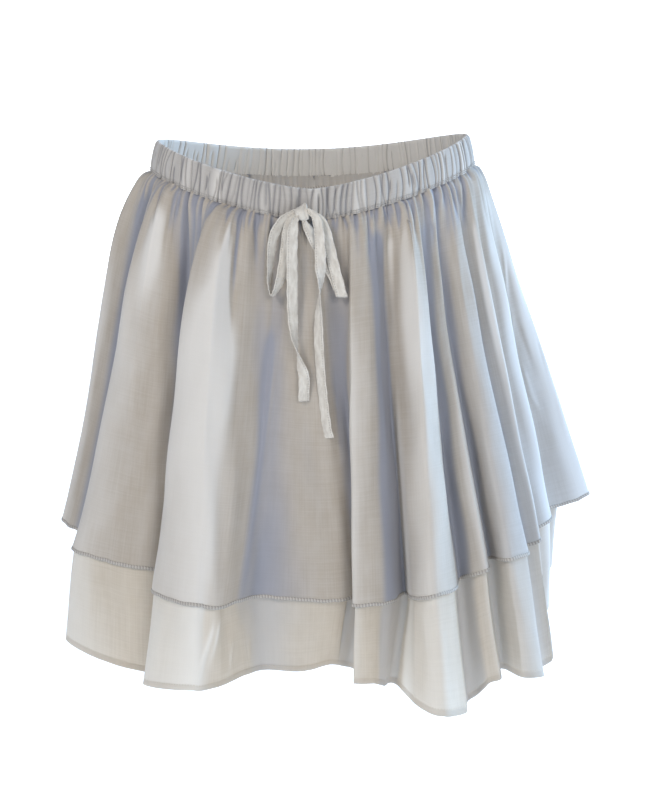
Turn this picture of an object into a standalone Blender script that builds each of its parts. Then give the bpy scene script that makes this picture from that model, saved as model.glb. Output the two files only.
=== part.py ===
"""Two-layer flared skirt with a gathered waistband and a drawstring bow.

The skirt keeps the hollow form that it has when its waistband is held open: the band sags a
little between the sides, and both layers hang from it in deep flared folds. It is modelled at
real size in metres, +Z up, with the front towards -Y. The origin is the middle of the waist
opening, level with the middle of the band's height at the sides.

Degrees run round the garment, from 0 at the centre front through +90 at the right-hand side
of a front view and 180 at the centre back.
"""

import math
from collections import namedtuple

import bmesh
import bpy
import numpy as np
from mathutils import Vector
from mathutils.bvhtree import BVHTree

# Waistband: a casing of doubled cloth over an elastic, gathered all round.
BAND_HEIGHT = 0.026
BAND_WALL = 0.0032
BAND_TOP_HALF_WIDTH = 0.1325
BAND_FOOT_HALF_WIDTH = 0.1385
BAND_TOP_HALF_DEPTH = 0.082
BAND_FOOT_HALF_DEPTH = 0.085
BAND_PINCH = 0.25
BAND_CENTRE_X = -0.0018
BAND_GATHERS = 120
BAND_GATHER_DEPTH = 0.0011
FRONT_SAG = 0.030
BACK_SAG = 0.0225
FRONT_SAG_POWER = 1.35
BACK_SAG_POWER = 2.0
SIDE_TILT = 0.0025

BandEdge = namedtuple("BandEdge", "height inset gather")

# The casing's section, from the foot of its outside over its top to the foot of its inside:
# the share of its height, how far in from its outside, and the share of the gathers' depth.
BAND_SECTION = (
    BandEdge(0.00, 0.0006, 0.7),
    BandEdge(0.30, -0.0006, 1.0),
    BandEdge(0.72, -0.0006, 1.0),
    BandEdge(1.00, 0.0009, 0.6),
    BandEdge(0.98, 0.0028, 0.6),
    BandEdge(0.00, BAND_WALL, 0.7),
)

# Cloth of the two layers.
CLOTH_WALL = 0.0011
PIECE_GAP = 0.0003
LAYER_GAP_BELOW = 0.0012
LAYER_GAP_DEPTH = 0.060
TUCK_START = 0.35
TOP_GATHER_DEPTH = 0.0009
TOP_GATHER_REACH = 0.030
TIER_LENGTH = 0.331
STEPS_PER_KNOT = 3
# Share of a knot's spacing over which the hems' corners are rounded.
CORNER = 2 / 3
FALL_LIMIT = 0.35
SHOULDER = 0.0050
SHOULDER_RISE = 0.02
SHOULDER_FADE = 0.20

# Rows of cloth as shares of its length, down the upper tier and below it.
TIER_ROWS = (0.0, 0.04, 0.11, 0.22, 0.38, 0.58, 0.79, 1.0)
BELOW_ROWS = (0.45, 1.0)

Knot = namedtuple("Knot", "waist x y ease puff tier step_x step_y under tuck")

# One row for each crest, flank or valley of the folds, in order round the skirt: its degrees
# at the waist, where it lies at the upper tier's hem, how late it flares, its bulge below the
# band, its cloth down to the tier's hem, how far its foot steps away from the tier's hem by the
# under layer's hem, its cloth down to that hem, and how far that layer is tucked in there.
KNOTS = (
    Knot(-90, -0.229, 0.020, 0.98, 0.15, 0.340, -0.002, 0.004, 0.423, 0.014),
    Knot(-74, -0.205, -0.008, 1.12, 0.02, 0.332, -0.006, 0.002, 0.418, 0.006),
    Knot(-63, -0.213, -0.040, 1.05, 0.11, 0.339, -0.013, 0.000, 0.425, 0.000),
    Knot(-58, -0.180, -0.066, 0.92, 0.10, 0.334, -0.002, -0.012, 0.424, 0.000),
    Knot(-53, -0.144, -0.078, 1.00, 0.04, 0.329, 0.000, -0.012, 0.421, 0.000),
    Knot(-48, -0.121, -0.073, 1.20, -0.10, 0.328, -0.004, -0.010, 0.421, 0.000),
    Knot(-33, -0.138, -0.102, 0.75, 0.12, 0.341, -0.012, -0.010, 0.423, 0.000),
    Knot(-28, -0.100, -0.136, 0.76, 0.10, 0.337, -0.009, -0.010, 0.411, 0.000),
    Knot(-20, -0.079, -0.133, 1.20, 0.00, 0.332, -0.003, -0.004, 0.402, 0.000),
    Knot(-14, -0.065, -0.121, 2.10, 0.00, 0.327, 0.008, 0.002, 0.395, 0.000),
    Knot(-9, -0.048, -0.103, 1.25, -0.08, 0.325, 0.004, 0.001, 0.393, 0.000),
    Knot(-4, -0.012, -0.105, 1.10, -0.06, 0.325, 0.000, 0.002, 0.392, 0.000),
    Knot(1, 0.022, -0.106, 1.00, 0.00, 0.325, -0.008, 0.007, 0.386, 0.000),
    Knot(8, 0.041, -0.096, 1.20, -0.10, 0.327, -0.011, 0.003, 0.397, 0.000),
    Knot(12.5, 0.032, -0.125, 0.82, 0.06, 0.330, 0.001, -0.001, 0.400, 0.000),
    Knot(17.5, 0.051, -0.127, 0.84, 0.05, 0.331, 0.000, -0.002, 0.401, 0.000),
    Knot(21, 0.066, -0.116, 0.92, 0.00, 0.332, -0.005, -0.007, 0.406, 0.000),
    Knot(25, 0.077, -0.093, 1.25, -0.12, 0.334, -0.011, -0.012, 0.413, 0.000),
    Knot(29.5, 0.083, -0.120, 1.05, -0.03, 0.333, 0.001, -0.018, 0.424, 0.000),
    Knot(33, 0.100, -0.137, 0.84, 0.06, 0.333, 0.010, -0.018, 0.437, 0.000),
    Knot(36.5, 0.118, -0.121, 1.00, 0.07, 0.333, 0.012, -0.012, 0.441, 0.000),
    Knot(39.5, 0.124, -0.088, 1.25, -0.04, 0.332, 0.011, -0.010, 0.443, 0.000),
    Knot(43, 0.136, -0.100, 1.2, -0.02, 0.328, 0.012, -0.005, 0.426, 0.000),
    Knot(45.8, 0.147, -0.101, 1.22, -0.02, 0.327, 0.014, -0.006, 0.425, 0.000),
    Knot(48.3, 0.150, -0.072, 1.25, -0.06, 0.325, 0.013, -0.006, 0.425, 0.000),
    Knot(53, 0.165, -0.097, 1.08, 0.00, 0.323, 0.012, -0.011, 0.428, 0.000),
    Knot(57, 0.183, -0.084, 1.06, -0.01, 0.327, 0.018, -0.012, 0.436, 0.000),
    Knot(60.5, 0.182, -0.056, 1.20, -0.08, 0.327, 0.019, -0.004, 0.442, 0.000),
    Knot(65.5, 0.197, -0.054, 1.0, 0.02, 0.327, 0.016, 0.003, 0.440, 0.000),
    Knot(71, 0.192, -0.028, 1.10, 0.00, 0.326, 0.009, 0.004, 0.422, 0.000),
    Knot(77.5, 0.211, -0.010, 0.94, 0.02, 0.325, 0.002, 0.004, 0.410, 0.000),
    Knot(85, 0.207, 0.022, 1.04, 0.02, 0.328, -0.004, 0.004, 0.404, 0.000),
    Knot(95, 0.251, 0.048, 0.94, 0.00, 0.338, -0.004, 0.004, 0.402, 0.030),
    Knot(107, 0.210, 0.068, 0.98, 0.02, 0.330, -0.004, 0.006, 0.402, 0.004),
    Knot(116, 0.214, 0.103, 0.84, 0.01, 0.330, -0.002, 0.008, 0.410, 0.000),
    Knot(127, 0.168, 0.098, 1.14, -0.06, 0.328, 0.002, 0.006, 0.410, 0.000),
    Knot(134, 0.173, 0.133, 0.80, 0.06, 0.332, 0.006, 0.012, 0.420, 0.000),
    Knot(141, 0.142, 0.146, 0.84, 0.05, 0.333, 0.004, 0.012, 0.420, 0.000),
    Knot(148, 0.121, 0.111, 1.14, -0.07, 0.328, 0.002, 0.006, 0.410, 0.000),
    Knot(155, 0.101, 0.149, 0.80, 0.04, 0.331, 0.002, 0.012, 0.412, 0.000),
    Knot(163, 0.072, 0.110, 1.10, -0.05, 0.328, -0.002, 0.004, 0.400, 0.000),
    Knot(170, 0.052, 0.143, 0.80, 0.05, 0.329, 0.000, 0.008, 0.400, 0.000),
    Knot(176, 0.021, 0.147, 0.86, 0.03, 0.329, 0.000, 0.008, 0.398, 0.000),
    Knot(184, -0.001, 0.106, 1.12, -0.07, 0.326, 0.000, 0.004, 0.396, 0.000),
    Knot(192, -0.021, 0.144, 0.78, 0.06, 0.329, -0.002, 0.008, 0.402, 0.000),
    Knot(200, -0.045, 0.108, 1.12, -0.06, 0.327, 0.000, 0.004, 0.402, 0.000),
    Knot(210, -0.082, 0.152, 0.78, 0.07, 0.331, -0.004, 0.012, 0.410, 0.000),
    Knot(222, -0.113, 0.107, 1.12, -0.04, 0.329, -0.002, 0.006, 0.410, 0.000),
    Knot(229, -0.143, 0.143, 0.84, 0.08, 0.333, -0.006, 0.012, 0.418, 0.000),
    Knot(237, -0.153, 0.101, 1.04, 0.05, 0.330, -0.004, 0.006, 0.412, 0.000),
    Knot(244, -0.187, 0.121, 0.87, 0.09, 0.334, -0.008, 0.010, 0.420, 0.000),
    Knot(250, -0.207, 0.094, 0.90, 0.07, 0.335, -0.008, 0.008, 0.420, 0.000),
    Knot(256, -0.193, 0.066, 1.12, 0.00, 0.332, -0.004, 0.006, 0.416, 0.000),
    Knot(262, -0.214, 0.047, 0.92, 0.12, 0.335, -0.006, 0.004, 0.420, 0.000),
)
RIGHT_SEAM_KNOT = 31 + 2 / 3
LEFT_SEAM_KNOT = 52

# Gathered seam allowance that hangs inside, under the band.
ALLOWANCE_DROP = 0.010
ALLOWANCE_WALL = 0.0011
ALLOWANCE_GATHER = 0.0009

# Drawstring: a flat tape tied in a bow at the centre front.
TAPE_WIDTH = 0.0092
TAPE_WALL = 0.0012
TAPE_SAMPLES = 4
KNOT_CENTRE_X = -0.0083
KNOT_CENTRE_Z = -0.0326
KNOT_LIFT = 0.0046
KNOT_SQUARENESS = 0.62
KNOT_POINTS = 16

KnotRing = namedtuple("KnotRing", "z half_width half_depth shift")
KNOT_RINGS = (
    KnotRing(-0.0074, 0.0036, 0.0014, -0.0010),
    KnotRing(-0.0062, 0.0056, 0.0030, -0.0008),
    KnotRing(-0.0030, 0.0062, 0.0040, -0.0004),
    KnotRing(0.0004, 0.0064, 0.0043, 0.0000),
    KnotRing(0.0036, 0.0060, 0.0040, 0.0004),
    KnotRing(0.0064, 0.0042, 0.0030, 0.0006),
    KnotRing(0.0086, 0.0012, 0.0010, 0.0008),
)

Bend = namedtuple("Bend", "x z lift turn")

# Where each tape runs: its place in front of the skirt, how far its middle stands off the cloth,
# and the degrees that its flat side has turned by.
TAPES = {
    "drawstring_loop_left": (
        Bend(-0.0192, -0.0304, 0.0022, 0),
        Bend(-0.0262, -0.0340, 0.0026, 5),
        Bend(-0.0335, -0.0425, 0.0030, 15),
        Bend(-0.0378, -0.0530, 0.0036, 25),
        Bend(-0.0392, -0.0660, 0.0044, 35),
        Bend(-0.0396, -0.0830, 0.0060, 55),
        Bend(-0.0390, -0.0960, 0.0070, 78),
        Bend(-0.0345, -0.1020, 0.0072, 90),
        Bend(-0.0298, -0.0960, 0.0068, 108),
        Bend(-0.0268, -0.0860, 0.0056, 140),
        Bend(-0.0257, -0.0750, 0.0044, 165),
        Bend(-0.0246, -0.0610, 0.0040, 178),
        Bend(-0.0240, -0.0500, 0.0048, 180),
        Bend(-0.0226, -0.0420, 0.0056, 180),
        Bend(-0.0204, -0.0356, 0.0060, 180),
    ),
    "drawstring_loop_right": (
        Bend(0.0040, -0.0318, 0.0050, 0),
        Bend(0.0074, -0.0385, 0.0052, 0),
        Bend(0.0124, -0.0500, 0.0052, 0),
        Bend(0.0168, -0.0640, 0.0052, 0),
        Bend(0.0212, -0.0790, 0.0052, 0),
        Bend(0.0240, -0.0920, 0.0054, 0),
        Bend(0.0250, -0.0995, 0.0054, 0),
        Bend(0.0252, -0.1013, 0.0049, 0),
        Bend(0.0252, -0.1020, 0.0036, 0),
        Bend(0.0251, -0.1013, 0.0023, 0),
        Bend(0.0247, -0.0995, 0.0018, 0),
        Bend(0.0216, -0.0880, 0.0016, 0),
        Bend(0.0150, -0.0740, 0.0016, 0),
        Bend(0.0074, -0.0610, 0.0016, 0),
        Bend(0.0006, -0.0510, 0.0016, 0),
        Bend(-0.0032, -0.0455, 0.0016, 0),
    ),
    "drawstring_tail_left": (
        Bend(-0.0150, -0.0418, 0.0086, 0),
        Bend(-0.0178, -0.0490, 0.0086, 0),
        Bend(-0.0180, -0.0640, 0.0083, 0),
        Bend(-0.0182, -0.0845, 0.0080, 0),
        Bend(-0.0180, -0.1172, 0.0056, 8),
        Bend(-0.0166, -0.1357, 0.0058, 36),
        Bend(-0.0148, -0.1451, 0.0062, 60),
        Bend(-0.0115, -0.1595, 0.0060, 120),
        Bend(-0.0088, -0.1706, 0.0046, 155),
        Bend(-0.0090, -0.1921, 0.0030, 180),
    ),
    "drawstring_tail_right": (
        Bend(0.0042, -0.0335, 0.0084, 0),
        Bend(0.0044, -0.0390, 0.0086, 0),
        Bend(0.0046, -0.0500, 0.0086, 0),
        Bend(0.0046, -0.0640, 0.0080, 10),
        Bend(0.0050, -0.0800, 0.0076, 52),
        Bend(0.0054, -0.0895, 0.0070, 88),
        Bend(0.0041, -0.1037, 0.0062, 132),
        Bend(0.0033, -0.1290, 0.0040, 176),
        Bend(0.0045, -0.1595, 0.0028, 180),
        Bend(0.0070, -0.1878, 0.0026, 180),
        Bend(0.0107, -0.2163, 0.0026, 180),
        Bend(0.0124, -0.2233, 0.0026, 180),
    ),
}

CLOTH_COLOUR = (0.72, 0.75, 0.79, 1.0)
UNDER_COLOUR = (0.76, 0.77, 0.78, 1.0)
TAPE_COLOUR = (0.74, 0.74, 0.73, 1.0)
CLOTH_ROUGHNESS = 0.85


def clear_scene():
    """Removes the startup scene's objects."""
    for obj in list(bpy.data.objects):
        bpy.data.objects.remove(obj)


def finish(name, colour):
    """A matt cloth material."""
    made = bpy.data.materials.new(name)
    made.use_nodes = True
    shader = made.node_tree.nodes["Principled BSDF"]
    shader.inputs["Base Color"].default_value = colour
    shader.inputs["Roughness"].default_value = CLOTH_ROUGHNESS
    shader.inputs["Metallic"].default_value = 0.0
    return made




def add_object(name, mesh, colour):
    """Turns a finished bmesh into a scene object with its own material."""
    bmesh.ops.recalc_face_normals(mesh, faces=mesh.faces)
    data = bpy.data.meshes.new(name)
    mesh.to_mesh(data)
    mesh.free()
    data.materials.append(finish(name + "_finish", colour))
    made = bpy.data.objects.new(name, data)
    bpy.context.scene.collection.objects.link(made)
    return made


def wall_object(name, outer, inner, colour):
    """A cloth wall between two grids of points [row, column]."""
    mesh = bmesh.new()
    loops = np.concatenate([outer, inner[::-1]], axis=0)
    verts = [[mesh.verts.new(Vector(point)) for point in row] for row in loops]
    count = len(loops)
    half = count // 2
    for row in range(count):
        near = verts[row]
        far = verts[(row + 1) % count]
        for column in range(len(near) - 1):
            following = column + 1
            if row < half:
                mesh.faces.new((near[column], near[following], far[following]))
                mesh.faces.new((near[column], far[following], far[column]))
            else:
                mesh.faces.new((near[column], near[following], far[column]))
                mesh.faces.new((near[following], far[following], far[column]))
    for column in (0, -1):
        for row in range(half - 1):
            outside = (verts[row][column], verts[row + 1][column])
            inside = (verts[count - 2 - row][column], verts[count - 1 - row][column])
            mesh.faces.new(outside + inside)
    return add_object(name, mesh, colour)


def swept_object(name, sections, colour):
    """A solid through closed sections [section, point], with a flat cap at each end."""
    mesh = bmesh.new()
    verts = [[mesh.verts.new(Vector(point)) for point in section] for section in sections]
    for near, far in zip(verts, verts[1:]):
        for index in range(len(near)):
            following = (index + 1) % len(near)
            mesh.faces.new((near[index], near[following], far[following], far[index]))
    mesh.faces.new(verts[0])
    mesh.faces.new(verts[-1])
    return add_object(name, mesh, colour)


def oval(degrees, half_width, half_depth):
    """Plan points on the waist's oval, whose ends are a little sharper than an ellipse's."""
    turn = np.radians(degrees)
    across = BAND_CENTRE_X + half_width * np.sin(turn)
    along = -half_depth * np.cos(turn) * np.abs(np.cos(turn)) ** BAND_PINCH
    return np.stack([across, along], axis=-1)


def oval_normal(degrees, half_width, half_depth):
    """Outward plan normals of that oval."""
    ahead = oval(degrees + 1.0, half_width, half_depth)
    behind = oval(degrees - 1.0, half_width, half_depth)
    along = ahead - behind
    normal = np.stack([along[..., 1], -along[..., 0]], axis=-1)
    return normal / np.linalg.norm(normal, axis=-1, keepdims=True)


def band_top(degrees):
    """Height of the waistband's top edge, which sags between the two sides."""
    turn = np.radians(degrees)
    side = np.sin(turn)
    front = np.cos(turn) > 0
    sag = np.where(front, FRONT_SAG, BACK_SAG)
    power = np.where(front, FRONT_SAG_POWER, BACK_SAG_POWER)
    return BAND_HEIGHT / 2 + SIDE_TILT * side - sag * (1 - np.abs(side) ** power)


def band_piece(name, start, end):
    """The casing's half from one side seam, in degrees, to the other."""
    step = 180.0 / BAND_GATHERS
    count = round((end - start) / step)
    trim = math.degrees(PIECE_GAP / 2 / (BAND_TOP_HALF_DEPTH * 0.5))
    degrees = np.linspace(start, end, count + 1)
    ridge = np.where(np.arange(count + 1) % 2 == 0, -0.5, 0.5) * BAND_GATHER_DEPTH
    degrees[0] += trim
    degrees[-1] -= trim
    top = band_top(degrees)
    sections = []
    for edge in BAND_SECTION:
        half_width = BAND_FOOT_HALF_WIDTH + (BAND_TOP_HALF_WIDTH - BAND_FOOT_HALF_WIDTH) * edge.height
        half_depth = BAND_FOOT_HALF_DEPTH + (BAND_TOP_HALF_DEPTH - BAND_FOOT_HALF_DEPTH) * edge.height
        out = ridge * edge.gather - edge.inset
        flat = oval(degrees, half_width, half_depth)
        flat = flat + oval_normal(degrees, half_width, half_depth) * out[:, None]
        height = top - BAND_HEIGHT * (1 - edge.height)
        sections.append(np.column_stack([flat, height]))
    return swept_object(name, np.array(sections).transpose(1, 0, 2), CLOTH_COLOUR)


def between(near, steps, axes):
    """Points on a smooth curve from the second of four points to the third, without the third.

    The spans are centripetal, so uneven points give no loops; only the first axes count in them.
    """
    spans = [math.sqrt(np.linalg.norm((b - a)[:axes])) for a, b in zip(near, near[1:])]
    at = np.concatenate([[0.0], np.cumsum(spans)])
    curve = []
    for share in np.arange(steps) / steps:
        t = at[1] + share * (at[2] - at[1])
        level = list(near)
        for reach in (1, 2):
            level = [
                ((at[k + reach] - t) * level[k] + (t - at[k]) * level[k + 1]) / (at[k + reach] - at[k])
                for k in range(len(level) - 1)
            ]
        curve.append(((at[2] - t) * level[0] + (t - at[1]) * level[1]) / (at[2] - at[1]))
    return curve


def closed_spline(points, steps):
    """A smooth closed curve through the points, with an even number of steps between them."""
    count = len(points)
    curve = []
    for index in range(count):
        near = [points[(index + offset) % count] for offset in (-1, 0, 1, 2)]
        curve.extend(between(near, steps, 2))
    return np.array(curve)


def open_spline(points, steps, axes):
    """A smooth curve from the first point to the last."""
    padded = [2 * points[0] - points[1], *points, 2 * points[-1] - points[-2]]
    curve = []
    for index in range(len(points) - 1):
        curve.extend(between(padded[index : index + 4], steps, axes))
    return np.array([*curve, points[-1]])


def ring_columns(steps=STEPS_PER_KNOT):
    """What each column of cloth needs, once round the skirt."""
    count = len(KNOTS)
    knots = np.array(KNOTS, dtype=float)
    knots[:, 0] = np.degrees(np.unwrap(np.radians(knots[:, 0])))
    at = np.arange(count * steps) / steps
    closing = knots[0].copy()
    closing[0] += 360.0
    table = np.vstack([knots, closing])
    columns = {
        name: np.interp(at, np.arange(count + 1), table[:, index])
        for index, name in enumerate(Knot._fields)
    }
    for name in ("tier", "step_x", "step_y", "under"):
        columns[name] = np.interp(
            at - CORNER / 2, at, columns[name], period=count
        ) / 2 + np.interp(at + CORNER / 2, at, columns[name], period=count) / 2
    columns["hem"] = closed_spline(knots[:, 1:3], steps)
    columns["step"] = np.column_stack([columns["step_x"], columns["step_y"]])
    return columns


def plan(columns, reach):
    """Plan points of the columns at a share of the tier's length; 1 is its hem."""
    waist = oval(columns["waist"], BAND_FOOT_HALF_WIDTH, BAND_FOOT_HALF_DEPTH)
    out = oval_normal(columns["waist"], BAND_FOOT_HALF_WIDTH, BAND_FOOT_HALF_DEPTH)
    shoulder = (1 - math.exp(-reach / SHOULDER_RISE)) * math.exp(-reach / SHOULDER_FADE)
    puff = columns["puff"] * 256 / 27 * reach * (1 - reach) ** 3
    share = reach ** columns["ease"] + puff
    return waist + out * SHOULDER * shoulder + (columns["hem"] - waist) * share[:, None]


def drape(columns, below):
    """Rows of points [row, column] of the tier, or of the tier and of what hangs below it."""
    foot = band_top(columns["waist"]) - BAND_HEIGHT - PIECE_GAP
    fine_count = 60
    shares = np.linspace(0, 1, fine_count + 1)
    flat = np.array([plan(columns, share) for share in shares])
    travel = np.linalg.norm(np.diff(flat, axis=0), axis=2)
    step = columns["tier"] / fine_count
    fall = np.sqrt(np.maximum(step**2 - travel**2, (FALL_LIMIT * step) ** 2))
    height = foot - np.vstack([np.zeros(len(foot)), np.cumsum(fall, axis=0)])
    rows = []
    for share in TIER_ROWS:
        row = [np.interp(share, shares, height[:, column]) for column in range(len(foot))]
        rows.append(np.column_stack([plan(columns, share), row]))
    if below:
        length = columns["under"] - columns["tier"]
        travel = np.linalg.norm(columns["step"], axis=1)
        fall = np.sqrt(np.maximum(length**2 - travel**2, (FALL_LIMIT * length) ** 2))
        hem = rows[-1]
        for share in BELOW_ROWS:
            moved = hem[:, :2] + columns["step"] * share
            rows.append(np.column_stack([moved, hem[:, 2] - fall * share]))
    return np.array(rows)


def ring_normals(ring):
    """Outward plan normals of a closed ring of points."""
    along = np.roll(ring, -1, axis=0) - np.roll(ring, 1, axis=0)
    normal = np.column_stack([along[:, 1], -along[:, 0], np.zeros(len(ring))])
    return normal / np.linalg.norm(normal, axis=1, keepdims=True)


def moved_in(rows, distances):
    """The rings again, moved in from the outside of the garment by a distance at each point."""
    return np.array([ring - ring_normals(ring) * gap for ring, gap in zip(rows, distances)])


def gathered(rows, foot):
    """The rings with small gathers under the band, which fade downwards."""
    made = []
    sign = np.where(np.arange(rows.shape[1]) % 2 == 0, -0.5, 0.5)
    for ring in rows:
        drop = np.maximum(foot - ring[:, 2], 0.0)
        out = sign * TOP_GATHER_DEPTH * np.exp(-((drop / TOP_GATHER_REACH) ** 2))
        made.append(ring + ring_normals(ring) * out[:, None])
    return np.array(made)


def panel(rows, first, last):
    """One panel of the rings between two seam columns, half a seam gap short at each."""
    count = rows.shape[1]
    span = (last - first) % count
    index = (first + np.arange(span + 1)) % count
    part = rows[:, index].copy()
    for column, sign in ((0, 1), (-1, -1)):
        seam = index[column]
        along = rows[:, (seam + 1) % count] - rows[:, (seam - 1) % count]
        along[:, 2] = 0.0
        along /= np.linalg.norm(along, axis=1, keepdims=True)
        part[:, column] += along * sign * PIECE_GAP / 2
    return part


def layer_pieces(name, outer, inner, colour):
    """A layer's front and back panels."""
    right = round(RIGHT_SEAM_KNOT * STEPS_PER_KNOT)
    left = round(LEFT_SEAM_KNOT * STEPS_PER_KNOT)
    front = wall_object(name + "_front", panel(outer, left, right), panel(inner, left, right), colour)
    wall_object(name + "_back", panel(outer, right, left), panel(inner, right, left), colour)
    return front


def layer_inset(shares):
    """How far each ring of the under layer's outside lies inside the tier's outside."""
    ramp = np.clip(TIER_LENGTH * np.array(shares) / LAYER_GAP_DEPTH, 0.0, 1.0)
    return CLOTH_WALL + PIECE_GAP + (LAYER_GAP_BELOW - PIECE_GAP) * ramp


def tucked(rows, shares, columns):
    """The under layer's rings, drawn towards the middle where it doesn't follow a fold."""
    middle = -columns["hem"] / np.linalg.norm(columns["hem"], axis=1, keepdims=True)
    made = rows.copy()
    for ring, share in zip(made, shares):
        drawn = (max(share - TUCK_START, 0.0) / (1 - TUCK_START)) ** 1.5
        ring[:, :2] += middle * columns["tuck"][:, None] * drawn
    return made


def allowance_pieces(columns, inset):
    """The strip of gathered seam allowance inside, under the band."""
    foot = band_top(columns["waist"]) - BAND_HEIGHT - PIECE_GAP
    flat = oval(columns["waist"], BAND_FOOT_HALF_WIDTH, BAND_FOOT_HALF_DEPTH)
    sign = np.where(np.arange(len(foot)) % 2 == 0, -1.0, 1.0)
    rings = []
    for drop, flare in ((0.0, 0.0), (1.0, 1.0)):
        ring = np.column_stack([flat, foot - ALLOWANCE_DROP * drop])
        out = -inset - ALLOWANCE_GATHER * flare * (1 + sign)
        rings.append(ring + ring_normals(ring) * out[:, None])
    outer = np.array(rings)
    inner = moved_in(outer, [ALLOWANCE_WALL] * len(outer))
    layer_pieces("seam_allowance", outer, inner, CLOTH_COLOUR)


def cloth_tree(objects):
    """A search tree over the finished cloth, to lay the drawstring on."""
    points = []
    faces = []
    for obj in objects:
        offset = len(points)
        points.extend(vert.co.copy() for vert in obj.data.vertices)
        faces.extend([offset + index for index in poly.vertices] for poly in obj.data.polygons)
    return BVHTree.FromPolygons(points, faces)


def cloth_front(tree, x, z, half_width):
    """The foremost cloth behind a strip of this half width."""
    depths = []
    for offset in (-1.0, -0.5, 0.0, 0.5, 1.0):
        origin = Vector((x + offset * half_width, -1.0, z))
        hit = tree.ray_cast(origin, Vector((0.0, 1.0, 0.0)))
        if hit[0] is not None:
            depths.append(hit[0].y)
    return min(depths)


def tape_object(name, bends, tree):
    """A flat tape along its bends, lying just off the cloth."""
    path = open_spline(np.array(bends, dtype=float), TAPE_SAMPLES, 3)
    depth = np.array([cloth_front(tree, x, z, TAPE_WIDTH / 2) for x, z in path[:, :2]])
    reach = TAPE_SAMPLES
    depth = np.array([depth[max(0, k - reach) : k + reach + 1].min() for k in range(len(depth))])
    kernel = np.ones(2 * reach + 1) / (2 * reach + 1)
    depth = np.convolve(np.pad(depth, reach, mode="edge"), kernel, mode="valid")
    line = np.column_stack([path[:, 0], depth - path[:, 2], path[:, 1]])
    tangent = np.gradient(line, axis=0)
    tangent /= np.linalg.norm(tangent, axis=1, keepdims=True)
    across = [np.cross(tangent[0], np.array([0.0, -1.0, 0.0]))]
    for direction in tangent:
        carried = across[-1] - direction * np.dot(across[-1], direction)
        across.append(carried / np.linalg.norm(carried))
    across = np.array(across[1:])
    facing = np.cross(across, tangent)
    turn = np.radians(path[:, 3])[:, None]
    wide = across * np.cos(turn) + facing * np.sin(turn)
    thick = facing * np.cos(turn) - across * np.sin(turn)
    corners = ((1, 1), (1, -1), (-1, -1), (-1, 1))
    sections = [
        line + wide * side * TAPE_WIDTH / 2 + thick * face * TAPE_WALL / 2 for side, face in corners
    ]
    return swept_object(name, np.array(sections).transpose(1, 0, 2), TAPE_COLOUR)


def bow_knot(tree):
    """The knot between the loops, a squarish lump of tape."""
    depth = cloth_front(tree, KNOT_CENTRE_X, KNOT_CENTRE_Z, TAPE_WIDTH / 2) - KNOT_LIFT
    angles = np.arange(KNOT_POINTS) * 2 * math.pi / KNOT_POINTS
    sections = []
    for ring in KNOT_RINGS:
        across = np.sign(np.cos(angles)) * np.abs(np.cos(angles)) ** KNOT_SQUARENESS
        along = np.sign(np.sin(angles)) * np.abs(np.sin(angles)) ** KNOT_SQUARENESS
        x = KNOT_CENTRE_X + ring.shift + across * ring.half_width
        y = depth + along * ring.half_depth
        z = np.full(KNOT_POINTS, KNOT_CENTRE_Z + ring.z)
        sections.append(np.column_stack([x, y, z]))
    return swept_object("drawstring_knot", np.array(sections), TAPE_COLOUR)


def main():
    clear_scene()
    columns = ring_columns()
    foot = band_top(columns["waist"]) - BAND_HEIGHT - PIECE_GAP
    band = band_piece("waistband_front", -90.0, 90.0)
    band_piece("waistband_back", 90.0, 270.0)
    tier = gathered(drape(columns, below=False), foot)
    tier_front = layer_pieces("tier", tier, moved_in(tier, [CLOTH_WALL] * len(tier)), CLOTH_COLOUR)
    rows = gathered(drape(columns, below=True), foot)
    shares = TIER_ROWS + tuple(1.0 for share in BELOW_ROWS)
    under = tucked(moved_in(rows, layer_inset(shares)), shares, columns)
    under_inner = moved_in(under, [CLOTH_WALL] * len(under))
    layer_pieces("under", under, under_inner, UNDER_COLOUR)
    allowance_pieces(columns, 2 * (CLOTH_WALL + PIECE_GAP) + TOP_GATHER_DEPTH / 2)
    tree = cloth_tree([band, tier_front])
    bow_knot(tree)
    for name, bends in TAPES.items():
        tape_object(name, bends, tree)


main()
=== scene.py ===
"""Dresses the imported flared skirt: sewn cloth, gathers, creases, tapes and studio.

The skirt hangs open from its waistband. Both layers of cloth are thin shells on the packed
form, with the gathers under the band and the creases set in their own tables. Lengths are
in metres and degrees run round the garment from 0 at the centre front, through +90 at the
right-hand side of a front view, to 180 at the centre back.
"""

import logging
import math
from dataclasses import dataclass, field
from enum import Enum
from typing import NamedTuple, Union

import bmesh
import bpy
import numpy as np
from mathutils import Matrix, Vector
from mathutils.bvhtree import BVHTree


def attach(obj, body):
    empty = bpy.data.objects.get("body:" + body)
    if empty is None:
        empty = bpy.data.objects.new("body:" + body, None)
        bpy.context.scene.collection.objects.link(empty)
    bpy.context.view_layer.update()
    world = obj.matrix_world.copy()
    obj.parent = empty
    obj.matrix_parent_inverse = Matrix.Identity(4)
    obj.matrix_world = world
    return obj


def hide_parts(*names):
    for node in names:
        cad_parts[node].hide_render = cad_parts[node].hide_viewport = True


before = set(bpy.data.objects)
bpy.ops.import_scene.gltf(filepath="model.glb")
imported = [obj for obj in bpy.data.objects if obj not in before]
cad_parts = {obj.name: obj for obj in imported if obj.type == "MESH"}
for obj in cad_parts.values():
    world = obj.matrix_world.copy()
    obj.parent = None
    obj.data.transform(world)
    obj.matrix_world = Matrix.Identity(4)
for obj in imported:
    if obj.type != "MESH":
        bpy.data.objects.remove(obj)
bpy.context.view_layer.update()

log = logging.getLogger("skirt")

Array = np.ndarray
Socket = bpy.types.NodeSocket
Pair = tuple[float, float]
Colour = tuple[float, float, float, float]
Number = Union[float, "Signal"]

BODY = "root"
MM = 0.001
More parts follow.
